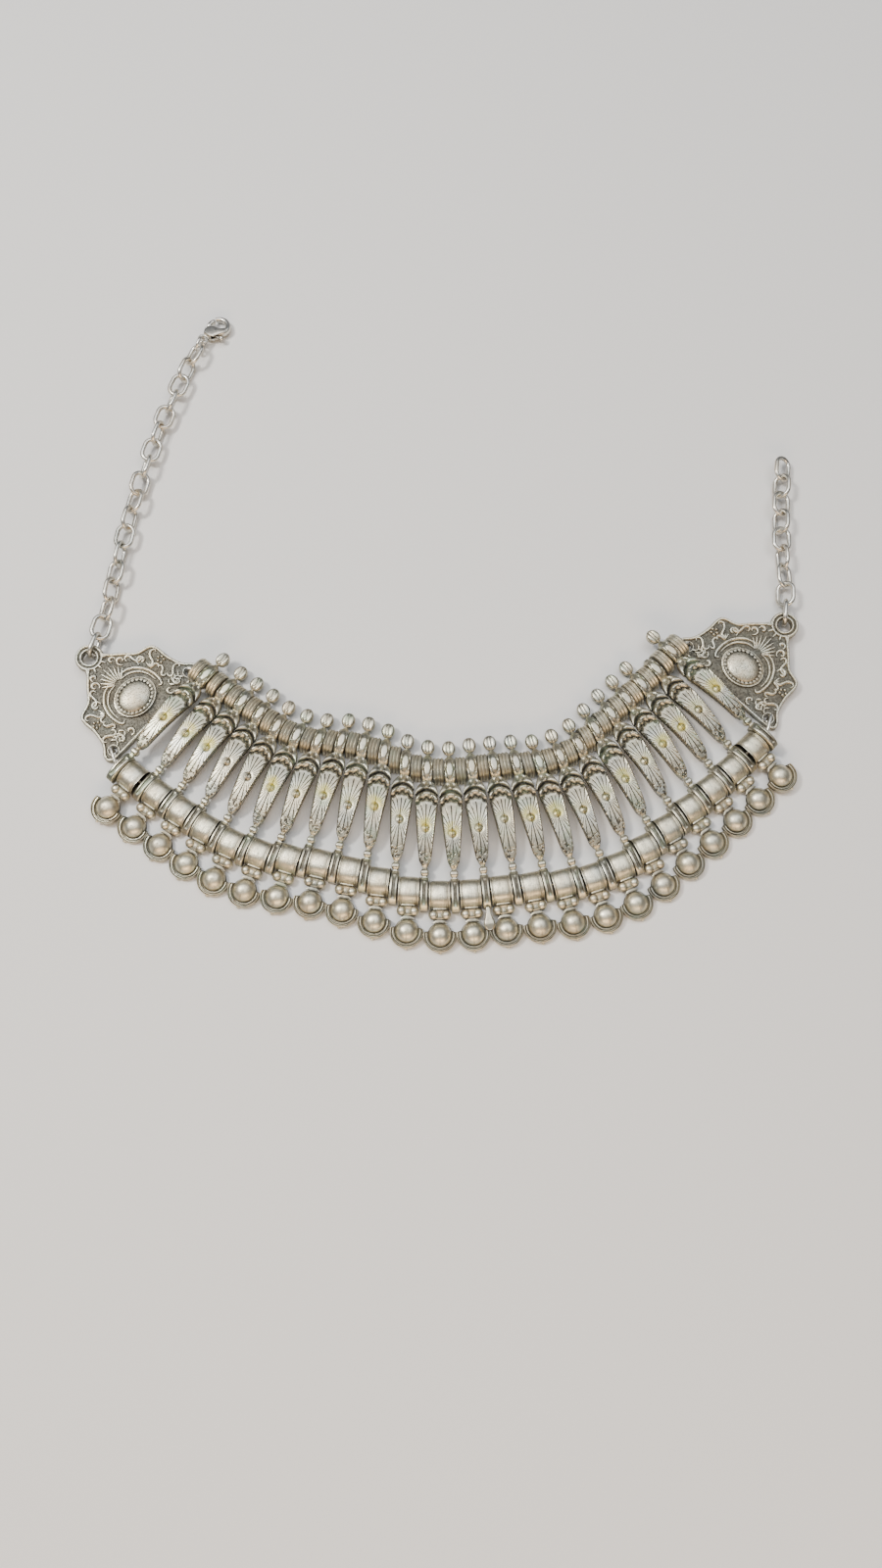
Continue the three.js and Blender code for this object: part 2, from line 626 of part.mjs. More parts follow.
const CLASP_DIP = Math.asin((RING.width / 2 - CLASP.thickness / 2) / noseReach);

const point2 = ({ x, y = 0 }) => new THREE.Vector2(x, y);
const slab = (rows, scale, thickness) =>
  strip(rows.map(point2), rows.map((row) => row.width * scale), -thickness / 2, thickness / 2);

function claspBody() {
  const eye = upright(0, 0, CLASP.eye, -CLASP.eyeThickness / 2, CLASP.eyeThickness / 2, 12);
  const half = CLASP.thickness / 2;
  const body = join([eye, slab(BASE, 1, CLASP.thickness), slab(HOOK, CLASP.arm, CLASP.thickness * 0.8)]);
  const length = SLOT.to - SLOT.from;
  const slot = new THREE.BoxGeometry(length, 2 * noseReach, CLASP.slot).translate(SLOT.from + length / 2, 0, 0);
  const pin = upright(PIVOT.x, PIVOT.y, PIVOT.radius, -half + 0.1, half - 0.1, 8);
  return cut(body, [upright(0, 0, CLASP.eyeHole, -half, half, 10), slot]).add(solid(pin));
}

function claspLever() {
  const tongue = slab(ARM, 1, LEVER.tongue);
  const gate = slab(ARM.slice(-2), 1, LEVER.gate);
  const nub = upright(ARM[0].x, ARM[0].y, LEVER.nub, -LEVER.gate / 2, LEVER.gate / 2, 10);
  return cut(join([tongue, gate, nub]), [upright(PIVOT.x, PIVOT.y, PIVOT.radius + GAP, -1, 1, 8)]);
}

const clasp = new THREE.Matrix4()
  .makeTranslation(ringCentre.clone().addScaledVector(lastLink.way, ringRadius))
  .multiply(new THREE.Matrix4().makeRotationZ(CLASP_TURN * RAD))
  .multiply(new THREE.Matrix4().makeRotationY(CLASP_DIP));
addPiece("clasp_body", claspBody().transform(clasp.elements), bright);
addPiece("clasp_lever", claspLever().transform(clasp.elements), bright);

// The origin lies on the surface, under the middle of the whole necklace
const reach = new THREE.Box3().setFromObject(necklace);
const middle = reach.getCenter(new THREE.Vector3());
necklace.position.set(-middle.x, -middle.y, -reach.min.z);

export default necklace;
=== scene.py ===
# %% [markdown]
# A bib necklace in antiqued silver, lying open on a pale floor. Twenty-five cast ribs stand side by
# side on two wires, with ridged spacers at their heads and belled drops at their feet. Each end has
# a scrolled plate with a cabochon, and two chains lead away from the plates. The solids give every
# place and size, and the pieces made here give what they only hint at: reliefs, ridges, engraving,
# stains and wear. Work is done in millimetres and brought to metres when a piece is placed.

# %% The frame
import math
from math import cos, pi, radians, sin, sqrt

import bmesh
import bpy
from mathutils import Matrix, Vector


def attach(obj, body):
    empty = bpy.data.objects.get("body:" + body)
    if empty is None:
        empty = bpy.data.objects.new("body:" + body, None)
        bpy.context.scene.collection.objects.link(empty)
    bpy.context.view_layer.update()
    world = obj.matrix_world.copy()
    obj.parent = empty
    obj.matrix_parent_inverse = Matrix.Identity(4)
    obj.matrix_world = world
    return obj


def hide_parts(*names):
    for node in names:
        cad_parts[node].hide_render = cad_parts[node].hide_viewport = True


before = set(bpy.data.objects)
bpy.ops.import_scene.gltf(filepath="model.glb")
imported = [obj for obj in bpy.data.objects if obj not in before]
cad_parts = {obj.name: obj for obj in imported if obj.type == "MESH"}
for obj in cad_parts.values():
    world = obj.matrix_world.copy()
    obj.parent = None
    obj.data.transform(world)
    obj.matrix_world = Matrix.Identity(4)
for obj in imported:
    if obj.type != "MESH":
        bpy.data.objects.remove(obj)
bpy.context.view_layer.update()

# %% [markdown]
# The sizes are those of the solids. A rib is measured down from the upper wire, so that a negative
# distance is on its finial's side. The fan of the ribs comes from the difference between the two
# pitches, and the slides are how far each rib has slipped past its neighbour.

# %% Sizes
MM = 0.001
MIDDLE = Vector((0.3644, 53.0404, 0.0))
GAP = 0.3
CORD = 1.0
RIB_COUNT = 25
WIRE_SPAN = 35.47
UPPER_PITCH = 6.27
LOWER_PITCH = 8.45
FOOT_WIDTH = 2.3
CORD_LEVEL = 2.45
RIB_BOW = 3.4
RIB_THICKNESS = 2.3
HEAD_WIDTH = 6.4
BARE_RIB = 24
TAILED_RIB = 14
FIRST_RIB = (-66.99, 30.66, radians(39.99))
SLIDES = [
    (1, -0.51), (4, 1.07), (7, -1.74), (10, 2.45), (13, -0.55),
    (16, 1.45), (19, -2.34), (22, -0.89), (24, -0.66),
]
PLATE_THICKNESS = 1.4
PLATE_TOP = 1.85
PLATE_EDGE = 2.45
HOLE_SPAN = 31.0
HOLE_DROP = 2.0
LOBE_OUT = 24.3
LOBE_RADIUS = 4.1
LOBE_HOLE = 1.9
LINK_LENGTH = 8.4
LINK_WIDTH = 6.1
LINK_WIRE = 1.3
HOLE_OUT = UPPER_PITCH / 2 + CORD / 2 + GAP + PLATE_EDGE
PLATE_TIP = math.asin((LINK_WIRE + GAP) / (LOBE_OUT - LOBE_RADIUS))
PLATE_LIFT = PLATE_EDGE * sin(PLATE_TIP)
END_LIFT = PLATE_TOP + PLATE_LIFT + GAP
RIB_STEP = 2 * math.asin((LOWER_PITCH - UPPER_PITCH) / 2 / WIRE_SPAN)
print("step of the fan", round(math.degrees(RIB_STEP), 2), "end lift", round(END_LIFT, 2))

# %% [markdown]
# The ribs could be placed by hand, one by one. But they hang on two wires and share them, so one
# walk along the upper wire places them all: a pitch on, a small turn, and the rib's own slip. A
# spot keeps a place and its heading, and tells where a point across and down from it lies.


# %% Where the ribs stand
class Spot:
    """A place on the bib with its heading, turned clockwise from +Y."""

    def __init__(self, x, y, turn, lift):
        self.x, self.y, self.turn, self.lift = x, y, turn, lift

    def along(self, across, down, level=0.0):
        return Vector((
            self.x + across * cos(self.turn) - down * sin(self.turn),
            self.y - across * sin(self.turn) - down * cos(self.turn),
            level,
        ))

    def matrix(self):
        return Matrix.Translation((self.x, self.y, self.lift)) @ Matrix.Rotation(-self.turn, 4, "Z")


def between(rows, value):
    for (a, low), (b, high) in zip(rows, rows[1:]):
        if value <= b:
            return low + (high - low) * max(value - a, 0.0) / (b - a)
    return rows[-1][1]


def lay_ribs():
    spots = [Spot(*FIRST_RIB, END_LIFT)]
    for rib in range(1, RIB_COUNT):
        last = spots[-1]
        halfway = Spot(last.x, last.y, last.turn - RIB_STEP / 2, 0.0)
        place = halfway.along(UPPER_PITCH, between(SLIDES, min(rib, SLIDES[-1][0])))
        lift = END_LIFT if rib == RIB_COUNT - 1 else 0.0
        spots.append(Spot(place.x, place.y, last.turn - RIB_STEP, lift))
    return spots


def between_ribs(down):
    middles = []
    for a, b in zip(ribs, ribs[1:]):
        place = (a.along(0, down) + b.along(0, down)) / 2
        middles.append(Spot(place.x, place.y, (a.turn + b.turn) / 2, (a.lift + b.lift) / 2))
    return middles


def beside(spot, side, across, down):
    place = spot.along(side * across, down)
    return Spot(place.x, place.y, spot.turn, spot.lift)


ribs = lay_ribs()
spacers = [
    beside(ribs[0], -1, UPPER_PITCH / 2, 0), *between_ribs(0), beside(ribs[-1], 1, UPPER_PITCH / 2, 0),
]
drops = between_ribs(WIRE_SPAN)
print("first and last rib at", [(round(s.x, 1), round(s.y, 1)) for s in (ribs[0], ribs[-1])])

# %% [markdown]
# Cast and wrought pieces of this kind are bars whose section changes along their length, so one
# helper covers a row of closed rings with quads. It starts from Blender's own grid, wraps it round,
# and welds the seam. A round wire is the simplest case: circles along a path.


# %% Covering rings with a skin
def skin(bm, rings, closed=False):
    """Covers a row of closed rings, each with the same number of points, and caps the ends."""
    around, rows = len(rings[0]), len(rings)
    steps = rows if closed else rows - 1
    made = bmesh.ops.create_grid(bm, x_segments=around, y_segments=steps, size=1.0)["verts"]
    for vert in made:
        column = round((vert.co.x + 1) / 2 * around) % around
        row = round((vert.co.y + 1) / 2 * steps) % rows
        vert.co = rings[row][column]
    bmesh.ops.remove_doubles(bm, verts=made, dist=1e-4)
    open_edges = [edge for edge in bm.edges if edge.is_boundary]
    if open_edges:
        bmesh.ops.holes_fill(bm, edges=open_edges, sides=0)


def circle_ring(centre, side, up, radius, points):
    angles = [2 * pi * i / points for i in range(points)]
    return [centre + (side * cos(a) + up * sin(a)) * radius for a in angles]


def tube(bm, path, radius, closed=False, sides=10):
    """A round wire along a path of points."""
    rings = []
    for i, point in enumerate(path):
        ahead = path[(i + 1) % len(path)] if closed else path[min(i + 1, len(path) - 1)]
        behind = path[i - 1] if closed else path[max(i - 1, 0)]
        way = (ahead - behind).normalized()
        up = Vector((0, 0, 1)) if abs(way.z) < 0.9 else Vector((1, 0, 0))
        side = way.cross(up).normalized()
        rings.append(circle_ring(point, side, side.cross(way), radius, sides))
    skin(bm, rings, closed)


def curve_through(points, steps, closed=False):
    """More points on a smooth line through the given ones."""
    count = len(points)
    spans = count if closed else count - 1
    line = []

    def pick(i):
        return points[i % count if closed else min(max(i, 0), count - 1)]

    for i in range(spans):
        a, b, c, d = pick(i - 1), pick(i), pick(i + 1), pick(i + 2)
        for k in range(steps):
            t = k / steps
            line.append(
                b + (c - a) * (t / 2) + (a * 2 - b * 5 + c * 4 - d) * (t * t / 2)
                + (b * 3 - a - c * 3 + d) * (t ** 3 / 2)
            )
    return line if closed else line + [points[-1].copy()]


# %% [markdown]
# A finished piece sits at the origin, unturned and unscaled, with its place in its mesh. So three
# maps are written first, while its coordinates are still its own: local keeps them in centimetres,
# finish says how deep a place lies in the relief, or how much painted shade it gets under or between
# pieces, and how stained it is, and zone says where grain or brush marks go and how far a place lies
# below the rib's star. Only then is the mesh moved, brought to metres and given to the body it rides
# on. Of a form that repeats, such as the drops, copies are stamped into one mesh.


# %% Turning a mesh into a placed piece
MM_IN_CM = 10


def write_maps(bm, depth=None, stain=0.0, grain=None, star=0.0):
    """Keeps a piece's own coordinates, how deep or in painted shade, how stained and how grained each place
    is.
    """
    local = bm.loops.layers.uv.new("local")
    finish = bm.loops.layers.uv.new("finish")
    zone = bm.loops.layers.uv.new("zone")
    for face in bm.faces:
        for loop in face.loops:
            x, y, z = loop.vert.co
            loop[local].uv = (x / MM_IN_CM, y / MM_IN_CM)
            loop[finish].uv = (depth(x, y, z) if depth else 0.0, stain)
            loop[zone].uv = (grain(x, y, z) if grain else 0.0, (-y - star) / MM_IN_CM)


def mesh_of(bm, name, place):
    bmesh.ops.recalc_face_normals(bm, faces=bm.faces)
    whole = Matrix.Scale(MM, 4) @ Matrix.Translation(-MIDDLE) @ place
    bmesh.ops.transform(bm, matrix=whole, verts=bm.verts)
    mesh = bpy.data.meshes.new(name)
    bm.to_mesh(mesh)
    mesh.shade_smooth()
    return mesh


def place_piece(bm, name, material, body="necklace", place=Matrix.Identity(4), crease=40):
    mesh = mesh_of(bm, name, place)
    piece = bpy.data.objects.new(name, mesh)
    bpy.context.scene.collection.objects.link(piece)
    mesh.materials.append(material)
    mesh.set_sharp_from_angle(angle=radians(crease))
    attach(piece, body)
    bm.free()
    return piece


def stamp(whole, part, place):
    """Adds a copy of one mesh to another, moved to its place."""
    copy = part.copy()
    bmesh.ops.transform(copy, matrix=place, verts=copy.verts)
    held = bpy.data.meshes.new("held")
    copy.to_mesh(held)
    whole.from_mesh(held)
    bpy.data.meshes.remove(held)
    copy.free()


# %% [markdown]
# The metal is a silver-coloured casting that was blackened and then rubbed bright, so its recesses
# stay dark and its high places shine. Green and yellow stains sit on single pieces. All of it can be
# worked out from masks, and such maths is unreadable as a list of nodes, so a small class lets it be
# written as plain arithmetic on sockets.


# %% Arithmetic on sockets
class Signal:
    """A number in a material's tree."""

    def __init__(self, sheet, socket):
        self.sheet, self.socket = sheet, socket

    def math(self, kind, *others, clamp=False):
        inputs = dict(enumerate((self, *others)))
        settings = {"operation": kind, "use_clamp": clamp}
        return self.sheet.node("ShaderNodeMath", settings, inputs)

    def __add__(self, other):
        return self.math("ADD", other)

    def __sub__(self, other):
        return self.math("SUBTRACT", other)

    def __rsub__(self, other):
        return (self * -1.0) + other

    def __mul__(self, other):
        return self.math("MULTIPLY", other)

    def __truediv__(self, other):
        return self.math("DIVIDE", other)

    def __neg__(self):
        return self * -1.0

    __radd__ = __add__
    __rmul__ = __mul__

    def held(self):
        return self.math("ADD", 0.0, clamp=True)

    def size(self):
        return self.math("ABSOLUTE")

    def wave(self):
        return self.math("SINE")

    def root(self):
        return self.math("SQRT")

    def near(self, width):
        """1 where the number is 0, falling to 0 at the given width."""
        return (1.0 - self.size() / width).held()

    def over(self, edge, width):
        """0 below an edge and 1 above it, rising over the given width."""
        return ((self - edge) / width).held()


# %% [markdown]
# The numbers live in a material's tree. A sheet stands for that tree and makes every kind of node
# with one method, which sets the node's choices first and then gives its sockets values or links.


# %% One method for every node
class Sheet:
    """A material's tree, with one method for every kind of node."""

    def __init__(self, name, roughness):
        self.material = bpy.data.materials.new(name)
        self.material.use_nodes = True
        self.tree = self.material.node_tree
        self.shader = self.tree.nodes["Principled BSDF"]
        self.shader.inputs["Metallic"].default_value = 1.0
        self.shader.inputs["Roughness"].default_value = roughness

    def give(self, socket, value):
        if isinstance(value, Signal):
            self.tree.links.new(value.socket, socket)
        else:
            socket.default_value = value

    def node(self, kind, settings, inputs, output=0):
        made = self.tree.nodes.new(kind)
        for key, value in settings.items():
            setattr(made, key, value)
        for key, value in inputs.items():
            self.give(made.inputs[key], value)
        return Signal(self, made.outputs[output])

    def flat(self, name):
        return self.node("ShaderNodeUVMap", {"uv_map": name}, {})

    def pair(self, name):
        """The two numbers that a map holds."""
        flat = self.flat(name)
        return [self.node("ShaderNodeSeparateXYZ", {}, {0: flat}, axis) for axis in (0, 1)]

    def spot(self):
        return self.node("ShaderNodeTexCoord", {}, {}, "Object")

    def cloud(self, scale, detail=3.0, place=None, roughness=0.55):
        place = place or self.spot()
        inputs = {"Vector": place, "Scale": scale, "Detail": detail, "Roughness": roughness}
        return self.node("ShaderNodeTexNoise", {}, inputs, "Fac")

    def stretched(self, place, amounts):
        return self.node("ShaderNodeVectorMath", {"operation": "MULTIPLY"}, {0: place, 1: amounts})

    def blend(self, amount, first, second):
        settings = {"data_type": "RGBA", "clamp_factor": True}
        return self.node("ShaderNodeMix", settings, {0: amount, 6: first, 7: second}, 2)

    def bump(self, height, distance):
        inputs = {"Height": height, "Distance": distance, "Strength": 1.0}
        self.give(self.shader.inputs["Normal"], self.node("ShaderNodeBump", {}, inputs))


# %% [markdown]
# All finishes come from one recipe: the recess map darkens, with patina in the hollows and painted
# shade under and between pieces, and clouds of tarnish change the colour and roughen. What is
# particular to a finish is added, such as brush marks along the barrels and pits in the plates'
# ground. One texture for all would be quicker, but the pieces aged differently.

# %% Colours of the metal
SILVER = (0.48, 0.45, 0.35, 1)
WARM = (0.60, 0.48, 0.32, 1)
COOL = (0.42, 0.45, 0.43, 1)
DARK = (0.028, 0.025, 0.022, 1)
GREEN = (0.36, 0.42, 0.30, 1)
YELLOW = (0.66, 0.58, 0.10, 1)
RUBBED = (0.68, 0.635, 0.5, 1)
BRUSHED = (0.68, 0.635, 0.49, 1)
BRIGHT = (0.68, 0.655, 0.59, 1)
ALONG_BARREL = (1.0, 0.07, 1.0)
PATCH_SCALE = 190.0
TINT_SCALE = 130.0
SPECK_SCALE = 620.0
FINE_SCALE = 1500.0
BRUSH_SCALE = 46.0
PIT_SCALE = 2600.0
GREEN_SCALE = 260.0
MARK_DEPTH = 0.00006
print("tarnish in clouds of", round(1 / MM / FINE_SCALE, 1), "to", round(1 / MM / TINT_SCALE, 1), "mm")

# %% [markdown]
# Where the finish map says that a place is deep or in shade, the metal goes dark and dull: patina in
# the hollows, painted shade under and between pieces. Large patches are warmer and rougher, others
# cooler, and dark specks lie over all. A fine cloud breaks up the edge of the dark. Brush marks and
# pits are cut with a bump and darkened too, or they would vanish in soft light.

# %% The shared recipe
def tarnished(sheet, depth, base, rough):
    """The shared recipe: gives colour, roughness and the fine cloud that both follow."""
    patches = sheet.cloud(PATCH_SCALE, 4.0).over(0.42, 0.3)
    fine = sheet.cloud(FINE_SCALE, 3.0)
    colour = sheet.blend(patches * 0.5, base, WARM)
    colour = sheet.blend(sheet.cloud(TINT_SCALE, 2.0).over(0.5, 0.2) * 0.55, colour, COOL)
    specks = sheet.cloud(SPECK_SCALE, 4.0, roughness=0.7).over(0.53, 0.12)
    colour = sheet.blend(specks * 0.3, colour, DARK)
    # Patina in the hollows and painted shade under and between pieces both come from the finish map.
    dark = (depth + (fine - 0.5) * 0.5 * depth.over(0.05, 0.3)).held()
    colour = sheet.blend(dark, colour, DARK)
    roughness = rough + patches * 0.08 + (fine - 0.5) * 0.12 + dark * 0.25
    return colour, roughness, fine


def worn_silver(name, rough, brush=None, pits=0.0, base=SILVER):
    sheet = Sheet(name, rough)
    depth, stain = sheet.pair("finish")
    colour, roughness, fine = tarnished(sheet, depth, base, rough)
    height = fine * 0.25
    if brush:
        brushed, _ = sheet.pair("zone")
        lines = sheet.cloud(BRUSH_SCALE, 3.0, sheet.stretched(sheet.flat("local"), brush), 0.7)
        height = height + lines * 1.4 * brushed
        colour = sheet.blend(lines.over(0.48, 0.3) * brushed * 0.7, colour, DARK)
    if pits:
        dots = sheet.cloud(PIT_SCALE, 1.0).over(0.56, 0.12) * pits
        height = height - dots
        colour = sheet.blend(dots * 0.6, colour, DARK)
    green = sheet.cloud(GREEN_SCALE, 3.0).over(0.5, 0.2) * stain
    colour = sheet.blend(green * 0.6, colour, GREEN)
    sheet.give(sheet.shader.inputs["Base Color"], colour)
    sheet.give(sheet.shader.inputs["Roughness"], roughness + green * 0.15)
    sheet.bump(height, MARK_DEPTH)
    return sheet.material


# %% [markdown]
# The ribs are engraved: rays fan out from a small star, a line runs down the blade's middle, and a
# fine ring goes round the star. Cut into the mesh they would need very many faces, so they are
# drawn by arithmetic on the rib's own coordinates and pressed in by a bump. The arches, the raised
# edges and the star itself are geometry, in the rib's relief.

# %% The ribs' own finish
STARS = {9: 18.6, 10: 16.6, 11: 17.0, 12: 17.7, 13: 18.9, 14: 18.3, 15: 16.6, 16: 16.8, 17: 16.0}
STAR_AT = 17.2
STAR_RADIUS = 0.95
RAYS = 15.0
HALO_UP = 1.1
HALO_RADIUS = 2.9
BLADE_TOP = 10.4
BLADE_FOOT = 24.5
CUT_DEPTH = 0.00013


def rib_silver():
    sheet = Sheet("rib silver", 0.3)
    x, y = (axis * MM_IN_CM for axis in sheet.pair("local"))
    depth, stain = sheet.pair("finish")
    grain, below = sheet.pair("zone")
    up = below * -MM_IN_CM
    colour, roughness, fine = tarnished(sheet, depth, SILVER, 0.34)
    reach = (x * x + up * up).root()
    angle = x.math("ARCTAN2", up)
    body = (-y).over(BLADE_TOP, 0.8) * (1.0 - (-y).over(BLADE_FOOT, 2.0))
    rays = (angle * RAYS).wave().near(0.46) * reach.over(1.5, 0.8) * (1.0 - reach.over(5.5, 4.5)) * body
    line = x.near(0.17) * body
    ring = (reach - STAR_RADIUS).near(0.24) * x.over(-1.3, 1.6)
    beads = sheet.cloud(1150.0, 1.0).over(0.5, 0.1) * grain
    cuts = (rays * 0.8 + line * 0.9 + ring * 0.9 + beads * 0.9).held()
    # Painted shade: the top of the blade, just under the head, darkens in a gradient; a fine cloud of
    # tarnish mottles the whole blade.
    painted_shade_and_tarnish = (1.0 - (-y).over(10.2, 4.5)) * body + fine.over(0.45, 0.3) * body * 0.45
    colour = sheet.blend((painted_shade_and_tarnish * 0.42).held(), colour, DARK)
    colour = sheet.blend(cuts * 0.86, colour, DARK)
    above = up - HALO_UP
    halo = (x * x + above * above).root().near(HALO_RADIUS)
    yellow = (halo * 2.4 * sheet.cloud(420.0, 3.0).over(0.3, 0.35)).held() * stain
    colour = sheet.blend(yellow * 0.65, colour, YELLOW)
    green = sheet.cloud(210.0, 3.0).over(0.5, 0.15) * stain.over(-0.2, 1.0)
    colour = sheet.blend(green * 0.5, colour, GREEN)
    sheet.give(sheet.shader.inputs["Base Color"], colour)
    sheet.give(sheet.shader.inputs["Roughness"], roughness + yellow * 0.2)
    sheet.bump(fine * 0.2 - cuts, CUT_DEPTH)
    return sheet.material


rib_finish = rib_silver()
spacer_finish = worn_silver("spacer silver", 0.4, base=RUBBED)
barrel_finish = worn_silver("barrel silver", 0.4, brush=ALONG_BARREL, base=BRUSHED)
plate_finish = worn_silver("plate silver", 0.36, pits=0.6)
bright_finish = worn_silver("bright silver", 0.3, base=BRIGHT)
print("finishes", len(bpy.data.materials))

# %% [markdown]
# A rib is one casting. From its finial down: a bean-shaped bead with two cut lines, a short neck, a
# saddle over the upper wire with a sunk oval, two arches one under the other, a flat blade with
# bright raised edges, a beaded end, a small ball, and a long saddle over the lower wire with a sunk
# slot. Seen from the side the blade is bowed, with its middle standing proud. It is lofted from
# rings, because every one of these features is a change of width and height along one line.

# %% The rib's relief
SADDLE_ABOVE = 3.3
SADDLE_BELOW = 3.5
LOWER_ABOVE = 4.4
LOWER_BELOW = 4.7
FINIAL_FOOT = -4.4
FINIAL_LENGTH = 4.4
BODY_FOOT = WIRE_SPAN - LOWER_ABOVE - 3.0
BALL_AT = WIRE_SPAN - LOWER_ABOVE - 1.5
ARCH_DROP = 2.0
FIRST_ARCH = 6.3
ARCH_RIDGE = 7.4
SECOND_ARCH = 8.9
HEAD_FOOT = 12.0
SLOT_HALF = 0.42
SLOT_REACH = 3.3


def hump(distance, width):
    """1 at no distance, fading softly to nothing past the width."""
    return math.exp(-((distance / width) ** 2))


def bow(at):
    """How high the back of the blade stands at a distance down the rib."""
    share = min(max((at - SADDLE_BELOW) / (BODY_FOOT - SADDLE_BELOW), 0.0), 1.0)
    return RIB_BOW * sin(pi * (0.12 + 0.76 * share))


def arch(x, peak):
    """How far down the rib an arch's line lies at a distance from its middle."""
    return peak + ARCH_DROP * (abs(x) / (HEAD_WIDTH / 2)) ** 1.7


def rib_depth(x, at, star=STAR_AT):
    """How deep a place lies under the casting's general surface, in millimetres."""
    if at < FINIAL_FOOT:
        return 0.24 * hump(abs(x) - 0.4, 0.17)
    if -SADDLE_ABOVE < at < SADDLE_BELOW:
        reach = sqrt((x / 1.08) ** 2 + (at / 2.9) ** 2)
        return 0.4 * hump(reach - 0.95, 0.12) + 0.1 * (reach < 0.95)
    if SADDLE_BELOW <= at < HEAD_FOOT:
        ridge = at - arch(x, ARCH_RIDGE)
        first = 1.0 * hump(at - arch(x, FIRST_ARCH), 0.5)
        second = 0.8 * hump(at - arch(x, SECOND_ARCH) + 0.3 * cos(x * 4.2), 0.42)
        facet = 0.65 * hump(abs(x) - 0.85, 0.35) * hump(at - 5.0, 0.7)
        facet += 0.45 * hump(abs(x) - 1.35, 0.3) * hump(ridge, 0.6)
        raised = 0.5 * hump(ridge, 0.65) + 0.35 * hump(x, 0.35) * hump(at - 4.9, 1.0)
        return first + second + facet - raised
    if HEAD_FOOT <= at < BODY_FOOT:
        reach = sqrt(x * x + (at - star) ** 2)
        return 0.3 * hump(reach - STAR_RADIUS, 0.25) - 0.18 * hump(reach, 0.5)
    if WIRE_SPAN - LOWER_ABOVE < at < WIRE_SPAN + LOWER_BELOW - 0.9:
        slot = abs(x) < SLOT_HALF and abs(at - WIRE_SPAN - 0.1) < SLOT_REACH
        return 0.45 if slot else 0.0
    return 0.0


print("depth of the first arch's groove", round(rib_depth(0, FIRST_ARCH), 2), "mm")

# %% [markdown]
# A ring is one section of the rib. It goes over the top in many steps, close together at the edges,
# where the light catches, and takes the relief's depth off each. Underneath it is plain. The
# stations are close together at the arches and the star, and far apart on the smooth blade. A row
# of the finial's neck gives place, half width, lowest and highest level, a row of the blade place
# and width, and a row of the tail the place past the lower saddle and half the width.

# %% The rib's rings
TOP_STEPS = 22
FINIAL_NECK = [(-4.1, 0.65, 1.6, 2.9), (-3.7, 0.85, 1.0, 3.1)]
FINIAL_HALF = 1.9
FINIAL_RISE = 1.1
FINIAL_STEPS = 10
SADDLE_HALF = 1.5
SADDLE_SEAT = 2.0
SADDLE_REACH = 3.7
SADDLE_SIDE = 2.3
SADDLE_RISE = 2.45
SADDLE_STEPS = 14
BLADE_WIDTHS = [
    (SADDLE_BELOW, 1.7), (3.8, 2.4), (4.3, 3.6), (5.0, 4.7), (5.8, 5.5), (6.7, 6.05), (7.7, 6.4),
    (8.5, 5.95), (9.2, 6.3), (10.6, 6.2), (14.0, 5.75), (19.0, 4.9), (24.0, 3.95), (26.4, 3.3),
    (27.2, 2.4), (BODY_FOOT, 1.5),
]
RIM_FROM = 10.6
RIM_TO = 26.0
BALL = 1.2
BALL_STEPS = 8
FOOT_HALF = 1.18
FOOT_REACH = 4.9
FOOT_SIDE = 1.9
FOOT_RISE = 2.8
FOOT_STEPS = 16
TAIL = [(0.1, 0.55), (1.2, 0.6), (2.6, 0.9), (4.0, 1.5), (5.0, 1.6), (5.9, 1.1), (6.2, 0.5)]
TAIL_LOW = 2.6
TAIL_HIGH = 4.1


def rib_ring(at, half, low, high, rim=0.0, edge=0.35, star=STAR_AT):
    """One section: over the top from right to left with the relief, and back underneath."""
    ring = []
    for k in range(TOP_STEPS + 1):
        share = sin((1 - 2 * k / TOP_STEPS) * pi / 2)
        x = half * share
        rounded = edge * share ** 8
        raised = rim * hump(abs(share) - 0.93, 0.07)
        relief = rib_depth(x, at, star) * (1 - share ** 10)
        ring.append(Vector((x, -at, high - rounded + raised - relief)))
    waist = low + (high - low) * 0.45
    for x, level in ((-half, waist), (-half * 0.9, low), (half * 0.9, low), (half, waist)):
        ring.append(Vector((x, -at, level)))
    return ring


def finial_rings():
    rings = []
    middle = CORD_LEVEL - 0.1
    for k in range(FINIAL_STEPS + 1):
        t = cos(pi * k / FINIAL_STEPS)
        swell = max(sqrt(max(1 - t * t, 0.0)), 0.12)
        at = FINIAL_FOOT - FINIAL_LENGTH / 2 * (1 + t)
        low, high = middle - FINIAL_RISE * swell, middle + FINIAL_RISE * sqrt(swell)
        rings.append(rib_ring(at, FINIAL_HALF * swell, low, high, edge=0.75 * swell))
    return rings


def saddle_rings():
    rings = [rib_ring(*row) for row in FINIAL_NECK]
    for k in range(SADDLE_STEPS + 1):
        at = -SADDLE_ABOVE + (SADDLE_ABOVE + SADDLE_BELOW) * k / SADDLE_STEPS
        share = (at - 0.1) / SADDLE_REACH
        low = bow(SADDLE_BELOW) * max(at - SADDLE_SEAT, 0.0) / (SADDLE_BELOW - SADDLE_SEAT)
        high = SADDLE_SIDE + SADDLE_RISE * max(1 - share ** 4, 0.02) ** 0.6
        rings.append(rib_ring(at, SADDLE_HALF - 0.12 * share ** 4, low, high))
    return rings


def blade_rings(star):
    stations = [3.75, 4.0] + [4.2 + 0.22 * k for k in range(34)] + [12.2, 13.4, 14.6]
    stations += [star - 1.6 + 0.32 * k for k in range(11)]
    stations += [star + 2.4 + (22.2 - star) * k / 5 for k in range(6)]
    stations += [25.2, 25.7, 26.1, 26.5, 26.9, 27.3, 27.7]
    rings = []
    for at in stations:
        half = between(BLADE_WIDTHS, at) / 2
        crown = 0.25 * hump(at - 6.0, 2.0)
        rim = 0.28 if RIM_FROM < at < RIM_TO else 0.08
        rings.append(rib_ring(at, half, bow(at), bow(at) + RIB_THICKNESS + crown, rim, star=star))
    return rings


